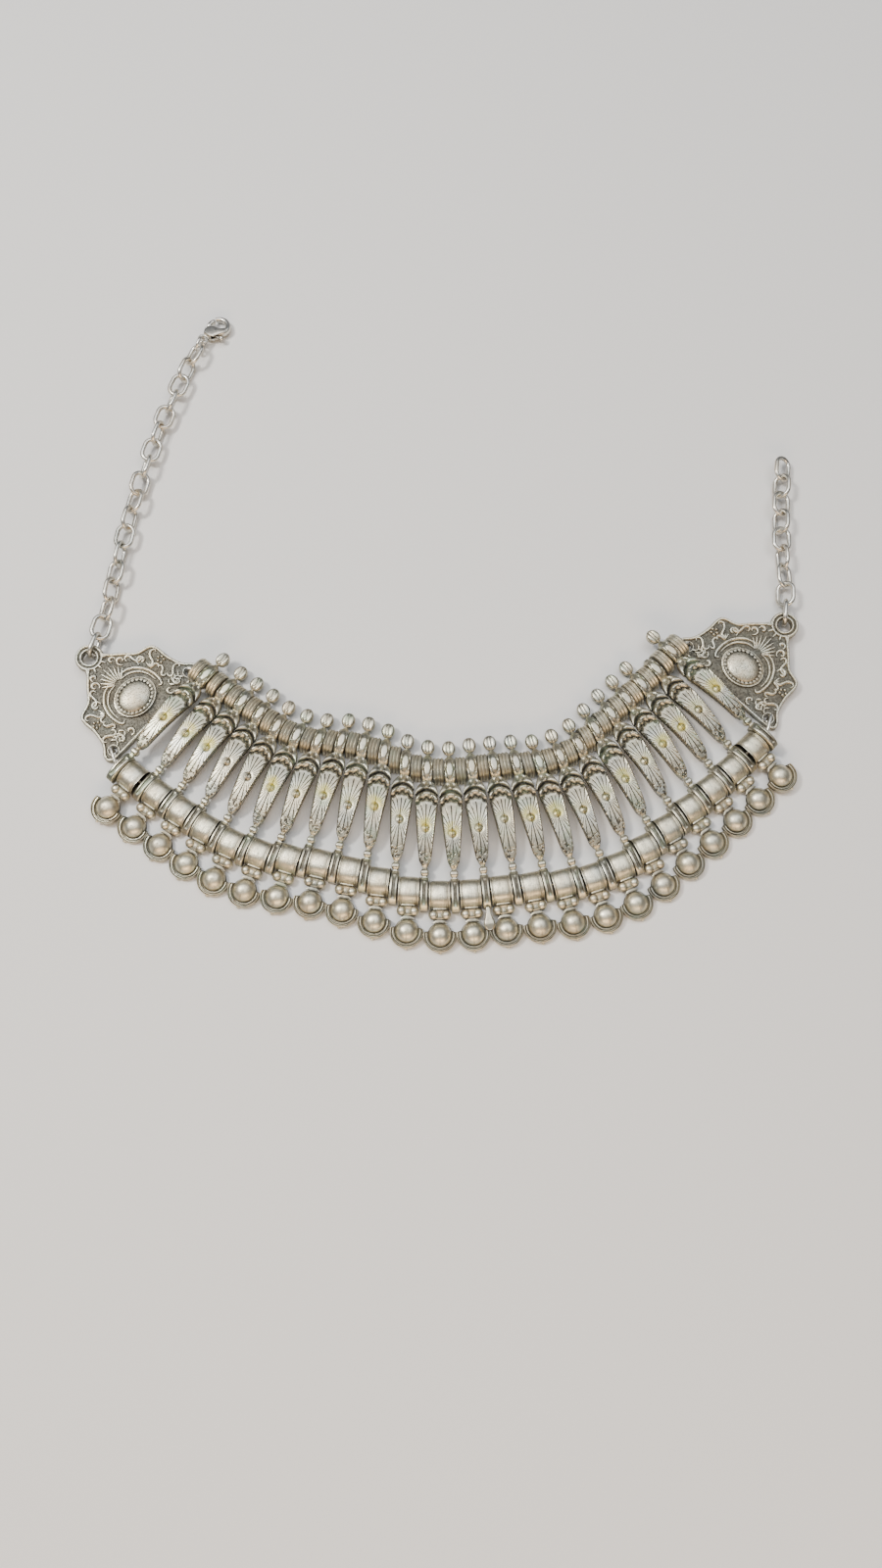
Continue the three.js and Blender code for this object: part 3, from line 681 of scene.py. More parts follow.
def foot_rings():
    rings = []
    middle = bow(BALL_AT) + RIB_THICKNESS / 2
    for k in range(BALL_STEPS + 1):
        t = cos(pi * k / BALL_STEPS)
        swell = max(sqrt(max(1 - t * t, 0.0)), 0.45)
        reach = BALL * swell
        rings.append(rib_ring(BALL_AT - BALL * t, reach, middle - reach, middle + reach, edge=0.7 * swell))
    for k in range(FOOT_STEPS + 1):
        at = WIRE_SPAN - LOWER_ABOVE + (LOWER_ABOVE + LOWER_BELOW) * k / FOOT_STEPS
        share = (at - WIRE_SPAN - 0.15) / FOOT_REACH
        half = FOOT_HALF - 0.2 * max(share, 0) ** 4
        high = FOOT_SIDE + FOOT_RISE * sqrt(max(1 - share * share, 0.03))
        rings.append(rib_ring(at, half, 0.0, high))
    return rings


def tail_rings():
    rings = []
    for past, half in TAIL:
        high = TAIL_HIGH - 0.5 * (past > 5.5)
        rings.append(rib_ring(WIRE_SPAN + LOWER_BELOW + past, half, TAIL_LOW, high, edge=0.4))
    return rings


print("a rib has", len(finial_rings() + saddle_rings() + blade_rings(STAR_AT) + foot_rings()), "rings")

# %% [markdown]
# The ribs came out of one mould and aged apart: some have green or yellow stains round their star,
# and others hardly any. Painting them by hand would follow the real patches, but a number for each
# rib is enough for clouds in the right places. One rib has lost its finial, and one ends in a small
# paddle.

# %% Ribs with their stains
STAINS = {
    1: 0.75, 2: 0.9, 3: 0.9, 4: 0.05, 5: 0.0, 6: 1.0, 8: 0.8, 10: 1.0, 12: 0.9, 13: 0.7, 16: 0.85,
    17: 0.9, 20: 0.9, 22: 0.9, 23: 1.0, 25: 1.0,
}


def rib_patina_and_shade(x, y, z):
    """Painted shade underneath and low on the sides, dark in the relief, darker still where finial and feet
    are cut.
    """
    at = -y
    low = bow(at) + 0.6 * RIB_THICKNESS if SADDLE_BELOW < at < BODY_FOOT else 1.8
    # Painted shade on the rib's underside and the lower part of its sides.
    if z < low:
        return 0.55
    gain = 1.9 if at > BODY_FOOT or at < -4 else 1.35
    return min(max(rib_depth(x, at) * gain - 0.06, 0.0), 0.95)


def rib_grain(x, y, z):
    """The beaded patch at the blade's end."""
    at = -y
    return min(max((at - 23.6) / 1.6, 0.0), 1.0) if at < BODY_FOOT else 0.0


def make_rib(number):
    star = STARS.get(number, STAR_AT)
    rings = saddle_rings() + blade_rings(star) + foot_rings()
    if number != BARE_RIB:
        rings = finial_rings() + rings
    if number == TAILED_RIB:
        rings += tail_rings()
    bm = bmesh.new()
    skin(bm, rings)
    write_maps(bm, rib_patina_and_shade, STAINS.get(number, 0.3), rib_grain, star)
    name = f"rib_{number:02d}"
    piece = place_piece(bm, name + "_cast", rib_finish, place=ribs[number - 1].matrix())
    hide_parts(name)
    return piece


made = [make_rib(number) for number in range(1, RIB_COUNT + 1)]
print("a rib has", len(made[0].data.polygons), "faces")

# %% [markdown]
# A spacer is an arch with three ridges, rolled or cast, that sits over the upper wire between two
# saddles. A row of arches along the strand makes it, and the ridges are arches a little larger. A
# spin would give round rings, but these have full shoulders and a flat foot.


# %% Arched pieces over a wire
ARCH_STEPS = 22
FULLNESS = 0.75


def arch_ring(x, half, height, grow):
    """An arch across the strand, with a flat foot."""
    ring = []
    for k in range(ARCH_STEPS + 1):
        angle = pi * k / ARCH_STEPS
        wide = math.copysign(abs(cos(angle)) ** FULLNESS, cos(angle))
        ring.append(Vector((x, (half + grow) * wide, (height + grow) * sin(angle) ** FULLNESS)))
    for share in (-0.5, 0.0, 0.5):
        ring.append(Vector((x, half * share, 0.0)))
    return ring


SPACER_HALF = 1.42
SPACER_LENGTH = 7.9
SPACER_HEIGHT = 4.85
RIDGES = 3
RIDGE_RISE = 0.12
RIDGE_DROP = 0.34


def spacer_form():
    bm = bmesh.new()
    rings = []
    steps = RIDGES * 4
    for k in range(steps + 1):
        x = -SPACER_HALF + 2 * SPACER_HALF * k / steps
        grow = RIDGE_RISE - RIDGE_DROP * (0.5 + 0.5 * cos(2 * pi * RIDGES * k / steps))
        rings.append(arch_ring(x, SPACER_LENGTH / 2 - 0.1, SPACER_HEIGHT - RIDGE_RISE, grow))
    skin(bm, rings)
    return bm


def spacer_recess(x, y, z):
    phase = (x + SPACER_HALF) / (2 * SPACER_HALF) * RIDGES
    return 0.65 * max(cos(2 * pi * phase), 0.0) ** 2


# %% [markdown]
# Both wires run through every piece of their strand, and each ends in a loop through a hole of the
# plate. They show only between pieces and at the plates. A curve object with a bevel would do as
# well, but a tube along the pieces' own places stays in step with them.

# %% Both wires with their end loops
WIRE_RADIUS = 0.92 * CORD / 2
LOOP_BEND = 0.7
LOOP_ROUNDING = 0.2


def end_loop(bm, start, hole):
    """An upright oblong of wire from a strand's end through the plate's hole and back under it."""
    corners = [
        start, Vector((hole.x, hole.y, start.z)), Vector((hole.x, hole.y, CORD / 2)),
        Vector((start.x, start.y, CORD / 2)),
    ]
    loop = []
    for i, corner in enumerate(corners):
        back = (corners[i - 1] - corner).normalized()
        ahead = (corners[(i + 1) % len(corners)] - corner).normalized()
        loop.append(corner + back * LOOP_BEND)
        loop.append(corner + (back + ahead) * LOOP_ROUNDING)
        loop.append(corner + ahead * LOOP_BEND)
    tube(bm, loop, WIRE_RADIUS, closed=True)


def wire_points(spots):
    return [Vector((s.x, s.y, s.lift + CORD_LEVEL)) for s in spots]


def wire_with_loops(name, spots, down):
    points = wire_points(spots)
    bm = bmesh.new()
    tube(bm, points, WIRE_RADIUS)
    end_loop(bm, points[0], ribs[0].along(-HOLE_OUT, down))
    end_loop(bm, points[-1], ribs[-1].along(HOLE_OUT, down))
    write_maps(bm)
    place_piece(bm, name, bright_finish)
    print(name, round(sum((b - a).length for a, b in zip(points, points[1:])), 1), "mm")


leg = FOOT_WIDTH / 2 + GAP + CORD / 2
legs = [beside(rib, side, leg, WIRE_SPAN) for rib, side in ((ribs[0], -1), (ribs[-1], 1))]
wire_with_loops("upper_wire", spacers, HOLE_DROP)
wire_with_loops("lower_wire", [legs[0], *drops, legs[1]], HOLE_DROP + HOLE_SPAN)

# %% [markdown]
# The spacers are all alike, and so are the drops. Linked copies would save memory, but each should
# have its own stain, so one form is stamped at every place of its strand, and each copy has its
# share of green written into its map.

# %% Threading the spacers
USUAL_GREEN = 0.12


def thread(name, form, spots, material, patina_and_shade, green, grain=None):
    """Sets one form at every place of a strand, as one piece, and each copy with its own green."""
    # The map holds patina in the hollows and, on the drops, painted shade as well.
    write_maps(form, patina_and_shade, grain=grain)
    whole = bmesh.new()
    for i, spot in enumerate(spots):
        before = len(whole.faces)
        stamp(whole, form, spot.matrix())
        whole.faces.ensure_lookup_table()
        finish = whole.loops.layers.uv["finish"]
        for face in whole.faces[before:]:
            for loop in face.loops:
                loop[finish].uv.y = green.get(i + 1, USUAL_GREEN)
    form.free()
    return place_piece(whole, name, material)


GREEN_SPACERS = {9: 0.7, 11: 0.9, 14: 0.6}
ridged = thread("spacers", spacer_form(), spacers, spacer_finish, spacer_recess, GREEN_SPACERS)
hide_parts("upper_strand")
print("spacers", len(ridged.data.polygons), "faces")

# %% [markdown]
# A drop hangs in one piece from its barrel, an arched sheet with a thin flange at each end and open
# ends. Under it comes a short grooved neck with a ball on each side. The barrel is a row of arches
# like the spacer, with its end caps sunk in so that it looks hollow, and the neck is a row of
# oblongs.

# %% The drop's barrel and neck
BARREL_HALF = 2.82
BARREL_LENGTH = 8.3
BARREL_HEIGHT = 4.9
BARREL_EDGE = 4.2
BARREL_ROWS = [
    (0.0, 0.1), (0.22, 0.12), (0.34, -0.1), (0.6, -0.12), (0.75, 0.0), (1.9, 0.05), (BARREL_HALF, 0.06),
]
BARREL_WALL = 0.45
BARREL_SUNK = 0.9
OBLONG = [
    (1, 0), (0.92, 0.75), (0.6, 1), (-0.6, 1), (-0.92, 0.75), (-1, 0), (-0.92, -0.75), (0, -1),
    (0.92, -0.75),
]
NECK_ROWS = [
    (3.7, 1.9, 1.5), (4.15, 1.95, 1.6), (4.35, 1.3, 1.2), (4.6, 1.75, 1.5), (4.85, 1.15, 1.2),
    (5.6, 0.6, 1.1), (6.3, 0.7, 1.1), (6.6, 1.5, 1.4), (6.95, 0.95, 1.1), (7.3, 1.5, 1.3),
    (7.9, 2.2, 1.0),
]
BALL_OUT = 1.72
BALL_DOWN = 5.6
BALL_RADIUS = 1.4
BELL_DOWN = 11.05
BELL_RADIUS = 4.5
BELL_TILT = radians(7)
NECK_LEVEL = 1.75


def barrel(bm):
    rows = BARREL_ROWS + [(2 * BARREL_HALF - x, grow) for x, grow in reversed(BARREL_ROWS[:-1])]
    half, height = BARREL_LENGTH / 2 - 0.1, BARREL_HEIGHT - 0.1
    skin(bm, [arch_ring(x - BARREL_HALF, half, height, grow) for x, grow in rows])
    caps = [face for face in bm.faces if len(face.verts) > 12]
    bmesh.ops.inset_individual(bm, faces=caps, thickness=BARREL_WALL, depth=0.0)
    for face in caps:
        inward = -math.copysign(BARREL_SUNK, face.calc_center_median().x)
        bmesh.ops.translate(bm, verts=face.verts, vec=(inward, 0, 0))


def ball(bm, centre, radius, segments=14, rings=9):
    made = bmesh.ops.create_uvsphere(bm, u_segments=segments, v_segments=rings, radius=radius)
    bmesh.ops.translate(bm, verts=made["verts"], vec=centre)


def neck(bm):
    skin(bm, [
        [Vector((half * a, -at, NECK_LEVEL + thick / 2 * b)) for a, b in OBLONG]
        for at, half, thick in NECK_ROWS
    ])
    for side in (-1, 1):
        ball(bm, (side * BALL_OUT, -BALL_DOWN, NECK_LEVEL), BALL_RADIUS)


print("a barrel is", 2 * BARREL_HALF, "mm long and stands", BARREL_HEIGHT, "mm high")

# %% [markdown]
# The bell is a polished dome inside a horseshoe rim with a stepped groove, open towards the neck,
# and a tiny nub hangs under it. One profile runs from the dome's top over the rim to the flat back.
# A spin would carry it evenly all round, but the rim has its gap. So each step round the bell has
# its own copy of the profile, pressed down inside the gap.

# %% The drop's bell
BELL_STEPS = 36
RIM_FOOT = 3.3
OPENING = radians(74)
BELL_PROFILE = [
    (0.02, 3.35), (0.7, 3.3), (1.4, 3.1), (2.0, 2.75), (2.5, 2.3), (2.9, 1.75), (3.18, 1.15), (3.26, 0.8),
    (3.46, 0.8), (3.5, 1.55), (3.66, 1.8), (3.82, 1.8), (3.96, 1.55), (4.02, 1.3), (4.16, 1.3),
    (4.22, 1.6), (4.36, 1.76), (4.5, 1.7), (4.62, 1.35), (4.62, 0.3), (4.4, 0.0), (0.02, 0.0),
]


def bell(bm):
    rings = []
    for k in range(BELL_STEPS):
        angle = 2 * pi * k / BELL_STEPS
        off = abs((angle - pi / 2 + pi) % (2 * pi) - pi)
        ring = []
        for radius, level in BELL_PROFILE:
            if off < OPENING and radius > RIM_FOOT:
                radius, level = RIM_FOOT + (radius - RIM_FOOT) * 0.1, min(level, 0.7)
            ring.append(Vector((radius * cos(angle), radius * sin(angle), level)))
        rings.append(ring)
    form = bmesh.new()
    skin(form, rings, closed=True)
    ball(form, (0, -BELL_RADIUS - 0.15, 0.55), 0.5, 8, 6)
    tilt = Matrix.Translation((0, 0.1 - BELL_DOWN - BELL_RADIUS, 0))
    tilt = tilt @ Matrix.Rotation(BELL_TILT, 4, "X") @ Matrix.Translation((0, BELL_RADIUS, 0.06))
    stamp(bm, form, tilt)
    form.free()


def drop_patina_and_shade(x, y, z):
    """Patina in the bell's grooves, neck's joints and flanges; painted shade on bell edge, barrel foot and
    inside.
    """
    across = sqrt(x * x + (y + BELL_DOWN - 0.1) ** 2)
    # Painted shade on the outer wall of the bell's rim, low by the floor.
    edge = 0.7 * (4.55 < across < 4.7)
    groove = max(hump(across - 3.36, 0.16), hump(across - 4.08, 0.14), edge) * (z > 0.5)
    on_barrel = y > -BARREL_EDGE
    joint = 0.8 * max(hump(-y - 4.4, 0.25), hump(-y - 7.0, 0.3)) * (abs(x) < 2.4)
    joint = max(joint, 0.75 * hump(-y - BALL_DOWN, 0.9) * hump(x, 0.4))
    # Painted shade low along the barrel's foot.
    foot = 0.5 * hump(-y - 4.1, 0.3) * (z < 1.2)
    flange = 0.35 * hump(abs(x) - (BARREL_HALF - 0.48), 0.16) * on_barrel
    # Painted shade inside the barrel's sunk ends, so that it looks hollow.
    inside = 0.9 * (abs(abs(x) - BARREL_HALF + BARREL_SUNK) < 0.05) * on_barrel
    seam = 0.4 * hump(x, 0.13) * (y < -BELL_DOWN) * (across < 3.0)
    return max(groove, joint, foot, flange, inside, seam)


def drop_brush(x, y, z):
    return float(y > -BARREL_EDGE)


def drop_form():
    bm = bmesh.new()
    barrel(bm)
    neck(bm)
    bell(bm)
    return bm


GREEN_DROPS = {4: 0.35, 5: 0.5, 6: 0.35, 7: 0.8, 11: 0.3, 16: 0.5, 18: 0.4, 21: 0.4}
strung = thread("drops", drop_form(), drops, barrel_finish, drop_patina_and_shade, GREEN_DROPS, drop_brush)
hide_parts("drop_strand")
print("drops", len(strung.data.polygons), "faces")

# %% [markdown]
# An end plate is cast flat and lies tipped up at its lobe. Its outline is a smooth line through a
# few corners, and round at the lobe. Cutting the holes with booleans would work, but the outline and
# the three holes can also be filled together as one flat face, which is then given its thickness.

# %% The plate's ground and outline
PLATE_CORNERS = [
    (21.0, 4.6), (18.4, 7.3), (15.4, 10.2), (14.2, 13.9), (12.2, 15.2), (8.0, 15.3), (3.6, 16.4),
    (1.2, 18.4), (-0.6, 19.0), (-1.9, 18.0),
]
LOBE_SWEEP = radians(118)
BEZEL_OUT = 6.2
BEZEL_WIDTH = 10.2
BEZEL_LENGTH = 12.4
WIRE_HOLE = 1.15
LOBE_STEPS = 16


def flat_points(pairs):
    return [Vector((out, across, 0)) for out, across in pairs]


def plate_outline():
    lobe = []
    for k in range(LOBE_STEPS + 1):
        angle = -LOBE_SWEEP + 2 * LOBE_SWEEP * k / LOBE_STEPS
        lobe.append((LOBE_OUT + LOBE_RADIUS * cos(angle), LOBE_RADIUS * sin(angle)))
    upper = PLATE_CORNERS + [(0.1 - PLATE_EDGE, 16.0), (0.05 - PLATE_EDGE, 8.0)]
    lower = [(out, -across) for out, across in reversed(upper)]
    middle = [(0.05 - PLATE_EDGE, 0.0)]
    corners = curve_through(flat_points(upper + middle + lower), 4)
    return flat_points(lobe) + corners


def plate_ground(bm, outline):
    """The flat casting with its three holes, filled between its loops and given its thickness."""
    holes = [
        (LOBE_OUT, 0.0, LOBE_HOLE + 0.05, 20),
        (0.0, HOLE_SPAN / 2, WIRE_HOLE, 14), (0.0, -HOLE_SPAN / 2, WIRE_HOLE, 14),
    ]
    loops = bmesh.ops.create_circle(bm, segments=len(outline), radius=1.0)["verts"]
    for vert, point in zip(loops, outline):
        vert.co = point
    for out, across, radius, segments in holes:
        ring = bmesh.ops.create_circle(bm, segments=segments, radius=radius)["verts"]
        bmesh.ops.translate(bm, verts=ring, vec=(out, across, 0))
        loops += ring
    edges = [e for e in bm.edges if e.verts[0] in loops and e.verts[1] in loops]
    filled = bmesh.ops.triangle_fill(bm, use_beauty=True, use_dissolve=False, edges=edges)
    faces = [item for item in filled["geom"] if isinstance(item, bmesh.types.BMFace)]
    raised = bmesh.ops.extrude_face_region(bm, geom=faces)["geom"]
    top = [item for item in raised if isinstance(item, bmesh.types.BMVert)]
    bmesh.ops.translate(bm, verts=top, vec=(0, 0, PLATE_THICKNESS))


print("the plate's outline has", len(plate_outline()), "points")

# %% [markdown]
# The plate's ornament is raised lines. They could be a bump, but they catch the light from the side,
# so each is a bead of real metal: a curve through a few chosen points carries a half-round section
# that thins at its ends. Curls come from a spiral, and the double ones from one S shape, turned,
# sized and sometimes flipped.

# %% Raised lines on the plate
BEAD_SECTION = [(1, -0.3), (0.8, 0.55), (0.35, 0.95), (-0.35, 0.95), (-0.8, 0.55), (-1, -0.3)]
S_SHAPE = [
    (-1.0, -0.25), (-1.2, 0.15), (-0.95, 0.5), (-0.5, 0.42), (-0.2, 0.0), (0.2, -0.42), (0.7, -0.5),
    (1.05, -0.2), (0.85, 0.15),
]


def bead(bm, points, width, height, steps=4, closed=False):
    """A low half-round line swept along a curve on the plate's face."""
    path = curve_through(points, steps, closed)
    rings = []
    for i, point in enumerate(path):
        ahead = path[(i + 1) % len(path)] if closed else path[min(i + 1, len(path) - 1)]
        behind = path[i - 1] if closed else path[max(i - 1, 0)]
        way = (ahead - behind).normalized()
        side = Vector((-way.y, way.x, 0))
        swell = 1.0 if closed else 0.35 + 0.65 * sin(pi * i / (len(path) - 1))
        ring = []
        for across, up in BEAD_SECTION:
            rise = PLATE_THICKNESS + height * (up if up < 0 else up * (0.6 + 0.4 * swell))
            ring.append(Vector((point.x, point.y, rise)) + side * (across * width / 2 * swell))
        rings.append(ring)
    skin(bm, rings, closed)


def spiral(out, across, radius, start, turns, ends=0.3, steps=9):
    """Points of a curl that winds in to a share of its radius."""
    points = []
    for k in range(steps + 1):
        share = k / steps
        reach = radius * (1 - (1 - ends) * share)
        angle = radians(start) + 2 * pi * turns * share
        points.append(Vector((out + reach * cos(angle), across + reach * sin(angle), 0)))
    return points


def s_curve(out, across, size, heading, lean=1):
    """An S of two curls, laid along a heading and flipped by a lean of -1."""
    turn = radians(heading)
    points = []
    for a, b in S_SHAPE:
        onward = a * cos(turn) - lean * b * sin(turn)
        aside = a * sin(turn) + lean * b * cos(turn)
        points.append(Vector((out + size * onward, across + size * aside, 0)))
    return points


# %% [markdown]
# The real plate has S-curls, a large C-scroll round the bezel, a small flower, a row of leaves, a
# fan and a shell at the lobe. Each gets its kind and place from the photograph, on one half of the
# plate, and is mirrored to the other half, as such castings are nearly symmetrical.

# %% Scrolls, flower and leaves
SCROLLS = [
    s_curve(11.1, 12.0, 2.2, 75),
    s_curve(14.7, 8.3, 2.1, 125, -1),
    s_curve(3.7, 13.4, 2.0, 100),
    s_curve(6.2, 10.9, 1.5, 10, -1),
    spiral(12.7, 9.3, 1.5, 250, 0.9),
    spiral(0.7, 11.6, 1.5, 60, -0.9),
    spiral(17.0, 5.3, 1.5, 200, 0.9),
    spiral(19.0, 3.6, 1.1, 120, -0.8),
    spiral(0.4, 8.2, 1.3, 150, 0.8),
    s_curve(8.9, 10.6, 1.2, 150),
]
C_SCROLL = [(14.4, 1.6), (13.6, 4.9), (11.2, 7.5), (8.0, 8.7), (4.8, 8.6), (3.4, 7.8), (3.9, 6.9)]
C_INNER = [(13.0, 1.3), (12.6, 4.0), (10.6, 6.5), (8.0, 7.6), (5.6, 7.7)]
FLOWER = (8.8, 13.2)
LEAF_ROW = [(1.7 - 0.12 * k, 9.3 + 1.15 * k) for k in range(4)]
LINE_WIDTH = 0.95
SCROLL_WIDTH = 1.25
PETALS = 5
PETAL_OUT = 0.9
LINE_RISE = 0.5
SCROLL_RISE = 0.55
FAN_AT = 12.0
FAN_FROM = 13.6
FAN_TO = 18.6
FAN_STEP = 13
SHELL_STEP = 24
SHELL_REACHES = (3.2, 4.0, 5.0)


def mirrored(points):
    return [Vector((p.x, -p.y, p.z)) for p in points]


def both(bm, points, width, height):
    bead(bm, points, width, height)
    bead(bm, mirrored(points), width, height)


def scroll_work(bm):
    for line in SCROLLS:
        both(bm, line, SCROLL_WIDTH, SCROLL_RISE)
    both(bm, flat_points(C_SCROLL), 1.35, 0.6)
    both(bm, flat_points(C_INNER), LINE_WIDTH, LINE_RISE)
    for petal in range(PETALS):
        angle = 2 * pi * petal / PETALS
        out, across = FLOWER[0] + PETAL_OUT * cos(angle), FLOWER[1] + PETAL_OUT * sin(angle)
        for side in (-1, 1):
            ball(bm, (out, side * across, PLATE_THICKNESS), 0.52, 8, 6)
    for out, across in LEAF_ROW:
        for lean in (-1, 1):
            leaf = [(out, across), (out + 0.75 * lean, across + 0.5), (out + 1.15 * lean, across + 1.15)]
            both(bm, flat_points(leaf), LINE_WIDTH, LINE_RISE)


def ray(bm, centre, heading, reaches):
    angle = radians(heading)
    points = [(centre + reach * cos(angle), reach * sin(angle)) for reach in reaches]
    bead(bm, flat_points(points), LINE_WIDTH, SCROLL_RISE)


def rays_work(bm):
    """The fan towards the bezel and the shell of short leaves by the lobe."""
    for k in range(-4, 5):
        end = FAN_TO - 0.35 * abs(k)
        reaches = [reach - FAN_AT for reach in (FAN_FROM, (FAN_FROM + end) / 2, end)]
        ray(bm, FAN_AT, FAN_STEP * k, reaches)
    for k in range(-2, 3):
        ray(bm, LOBE_OUT, 180 + SHELL_STEP * k, SHELL_REACHES)


print("scrolls on each half", len(SCROLLS) + 2, "and leaves", 2 * len(LEAF_ROW))

# %% [markdown]
# The cabochon is silvery like the rest: a smooth oval dome in a serrated bezel, with a plain ring
# outside. The teeth could be single pieces, set round it one by one. Here one profile goes round the
# oval, and its two points at the serration move in and out with the teeth.

# %% The bezel and its cabochon
TEETH = 26
BEZEL_STEPS = TEETH * 3
BEZEL_PROFILE = [
    (0.02, 1.95), (1.4, 1.9), (2.7, 1.72), (3.7, 1.4), (4.2, 1.08), (4.4, 0.72), (4.5, 1.3), (4.7, 1.5),
    (4.86, 1.2), (4.92, 0.7), (5.04, 0.66), (5.14, 0.86), (5.34, 0.82), (5.4, 0.5), (5.4, -0.3),
    (0.02, -0.3),
]


def bezel(bm):
    """An oval setting: a smooth dome, a ring of teeth over its edge and a plain ring outside."""
    stretch = BEZEL_LENGTH / BEZEL_WIDTH
    rings = []
    for k in range(BEZEL_STEPS):
        angle = 2 * pi * k / BEZEL_STEPS
        tooth = 0.5 - 0.5 * cos(2 * pi * k / 3)
        ring = []
        for radius, level in BEZEL_PROFILE:
            if 4.45 < radius < 4.6:
                radius, level = radius - 0.4 * tooth, level - 0.1 * tooth
            elif 4.6 <= radius < 4.8:
                level -= 0.4 * (1 - tooth)
            out, across = BEZEL_OUT + radius * cos(angle), radius * stretch * sin(angle)
            ring.append(Vector((out, across, PLATE_THICKNESS + level)))
        rings.append(ring)
    skin(bm, rings, closed=True)


print("the bezel has", TEETH, "teeth round", BEZEL_LENGTH, "by", BEZEL_WIDTH, "mm")

# %% [markdown]
# A plate is the ground with its raised edge, the scrolls, the rays, the bezel and the rings round
# its holes, which simply stand in each other as one casting. It is darkest on its ground and clean
# on what is raised, with painted shade on its sides, so its recess map is read from the height
# alone, apart from the cabochon. Both plates are the same casting, turned and tipped into their
# places.

# %% Both end plates
EDGE_WIDTH = 1.0
LOBE_RINGS = [(2.45, 0.75, 0.55), (3.55, 0.8, 0.6)]
HOLE_RING = 1.6


def ring_work(bm):
    """The double ring round the chain's hole and the plain ring round each wire hole."""
    out, across = Vector((1, 0, 0)), Vector((0, 1, 0))
    for radius, width, height in LOBE_RINGS:
        points = circle_ring(out * LOBE_OUT, out, across, radius, 16)
        bead(bm, points, width, height, steps=2, closed=True)
    points = circle_ring(across * (HOLE_SPAN / 2), out, across, HOLE_RING, 10)
    for side in (points, mirrored(points)):
        bead(bm, side, 0.5, 0.35, steps=2, closed=True)


def plate_patina_and_shade(x, y, z):
    """Clean on the cabochon, dark between the teeth, painted shade on the sides and underneath, and darker
    on the face the lower a place lies.
    """
    stone = ((x - BEZEL_OUT) / 4.2) ** 2 + (y / 5.1) ** 2
    if stone < 0.9:
        return 0.03
    if stone < 1.35:
        tooth = 0.5 + 0.5 * cos(TEETH * math.atan2(y * BEZEL_WIDTH / BEZEL_LENGTH, x - BEZEL_OUT))
        return 0.9 * tooth if z > PLATE_THICKNESS + 0.95 else 0.95
    # Painted shade on the plate's sides and underside.
    if z < PLATE_THICKNESS - 0.2:
        return 0.25
    height = z - PLATE_THICKNESS
    return min(max(0.8 - 2.4 * height, 0.0), 0.8)


def plate_form():
    bm = bmesh.new()
    outline = plate_outline()
    plate_ground(bm, outline)
    inset = []
    for i, point in enumerate(outline):
        way = (outline[(i + 1) % len(outline)] - outline[i - 1]).normalized()
        inset.append(point + Vector((-way.y, way.x, 0)) * (EDGE_WIDTH / 2))
    bead(bm, inset, EDGE_WIDTH, SCROLL_RISE, steps=1, closed=True)
    scroll_work(bm)
    rays_work(bm)
    bezel(bm)
    ring_work(bm)
    write_maps(bm, plate_patina_and_shade, 0.1)
    return bm


def plate_matrix(spot, side):
    place = spot.along(side * HOLE_OUT, HOLE_DROP + HOLE_SPAN / 2)
    turn = -spot.turn + (pi if side < 0 else 0.0)
    flat = Matrix.Translation((place.x, place.y, PLATE_LIFT)) @ Matrix.Rotation(turn, 4, "Z")
    return flat @ Matrix.Rotation(-PLATE_TIP, 4, "Y")


plates = {}
for side_name, spot, side in (("left", ribs[0], -1), ("right", ribs[-1], 1)):
    plates[side_name] = plate_matrix(spot, side)
    piece = place_piece(plate_form(), f"end_plate_{side_name}_cast", plate_finish, place=plates[side_name])
    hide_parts(f"end_plate_{side_name}")
print("a plate has", len(piece.data.polygons), "faces")

# %% [markdown]
# The chains are plain oval links of round wire, each rolled about the chain's line as it fell. A
# physics simulation could drop them, but then they would lie anywhere. So the roll of each link and
# the chain's heading at a few links are listed. The link by the plate stands on edge in its
# hole.

# %% Chains
LINK_PITCH = LINK_LENGTH - 2 * LINK_WIRE + 0.15
CHAIN_LEVEL = LINK_WIDTH / 2
LEFT_ROLLS = [90, 20, -40, 60, -25, 80, 0, 65, -30, 35, -60, 10, 85, 15, -60, 5, 65, -35]
RIGHT_ROLLS = [80, -35, 35, -70, 10, -50, 20, -45, 30]
LEFT_ROUTE = [(1, 74), (4, 83), (9, 79), (14, 73), (18, 68)]
RIGHT_ROUTE = [(1, 82), (3, 91), (6, 86), (9, 82)]


def link_path(length, width, wire, steps=28):
    """The middle line of a link's wire: two half circles with straight sides between."""
    reach = (width - wire) / 2
    spread = (length - width) / 2
    points = []
    for k in range(steps):
        angle = 2 * pi * (k + 0.5) / steps
        y = reach * sin(angle) + math.copysign(spread, sin(angle))
        points.append(Vector((reach * cos(angle), y, 0)))
    return points


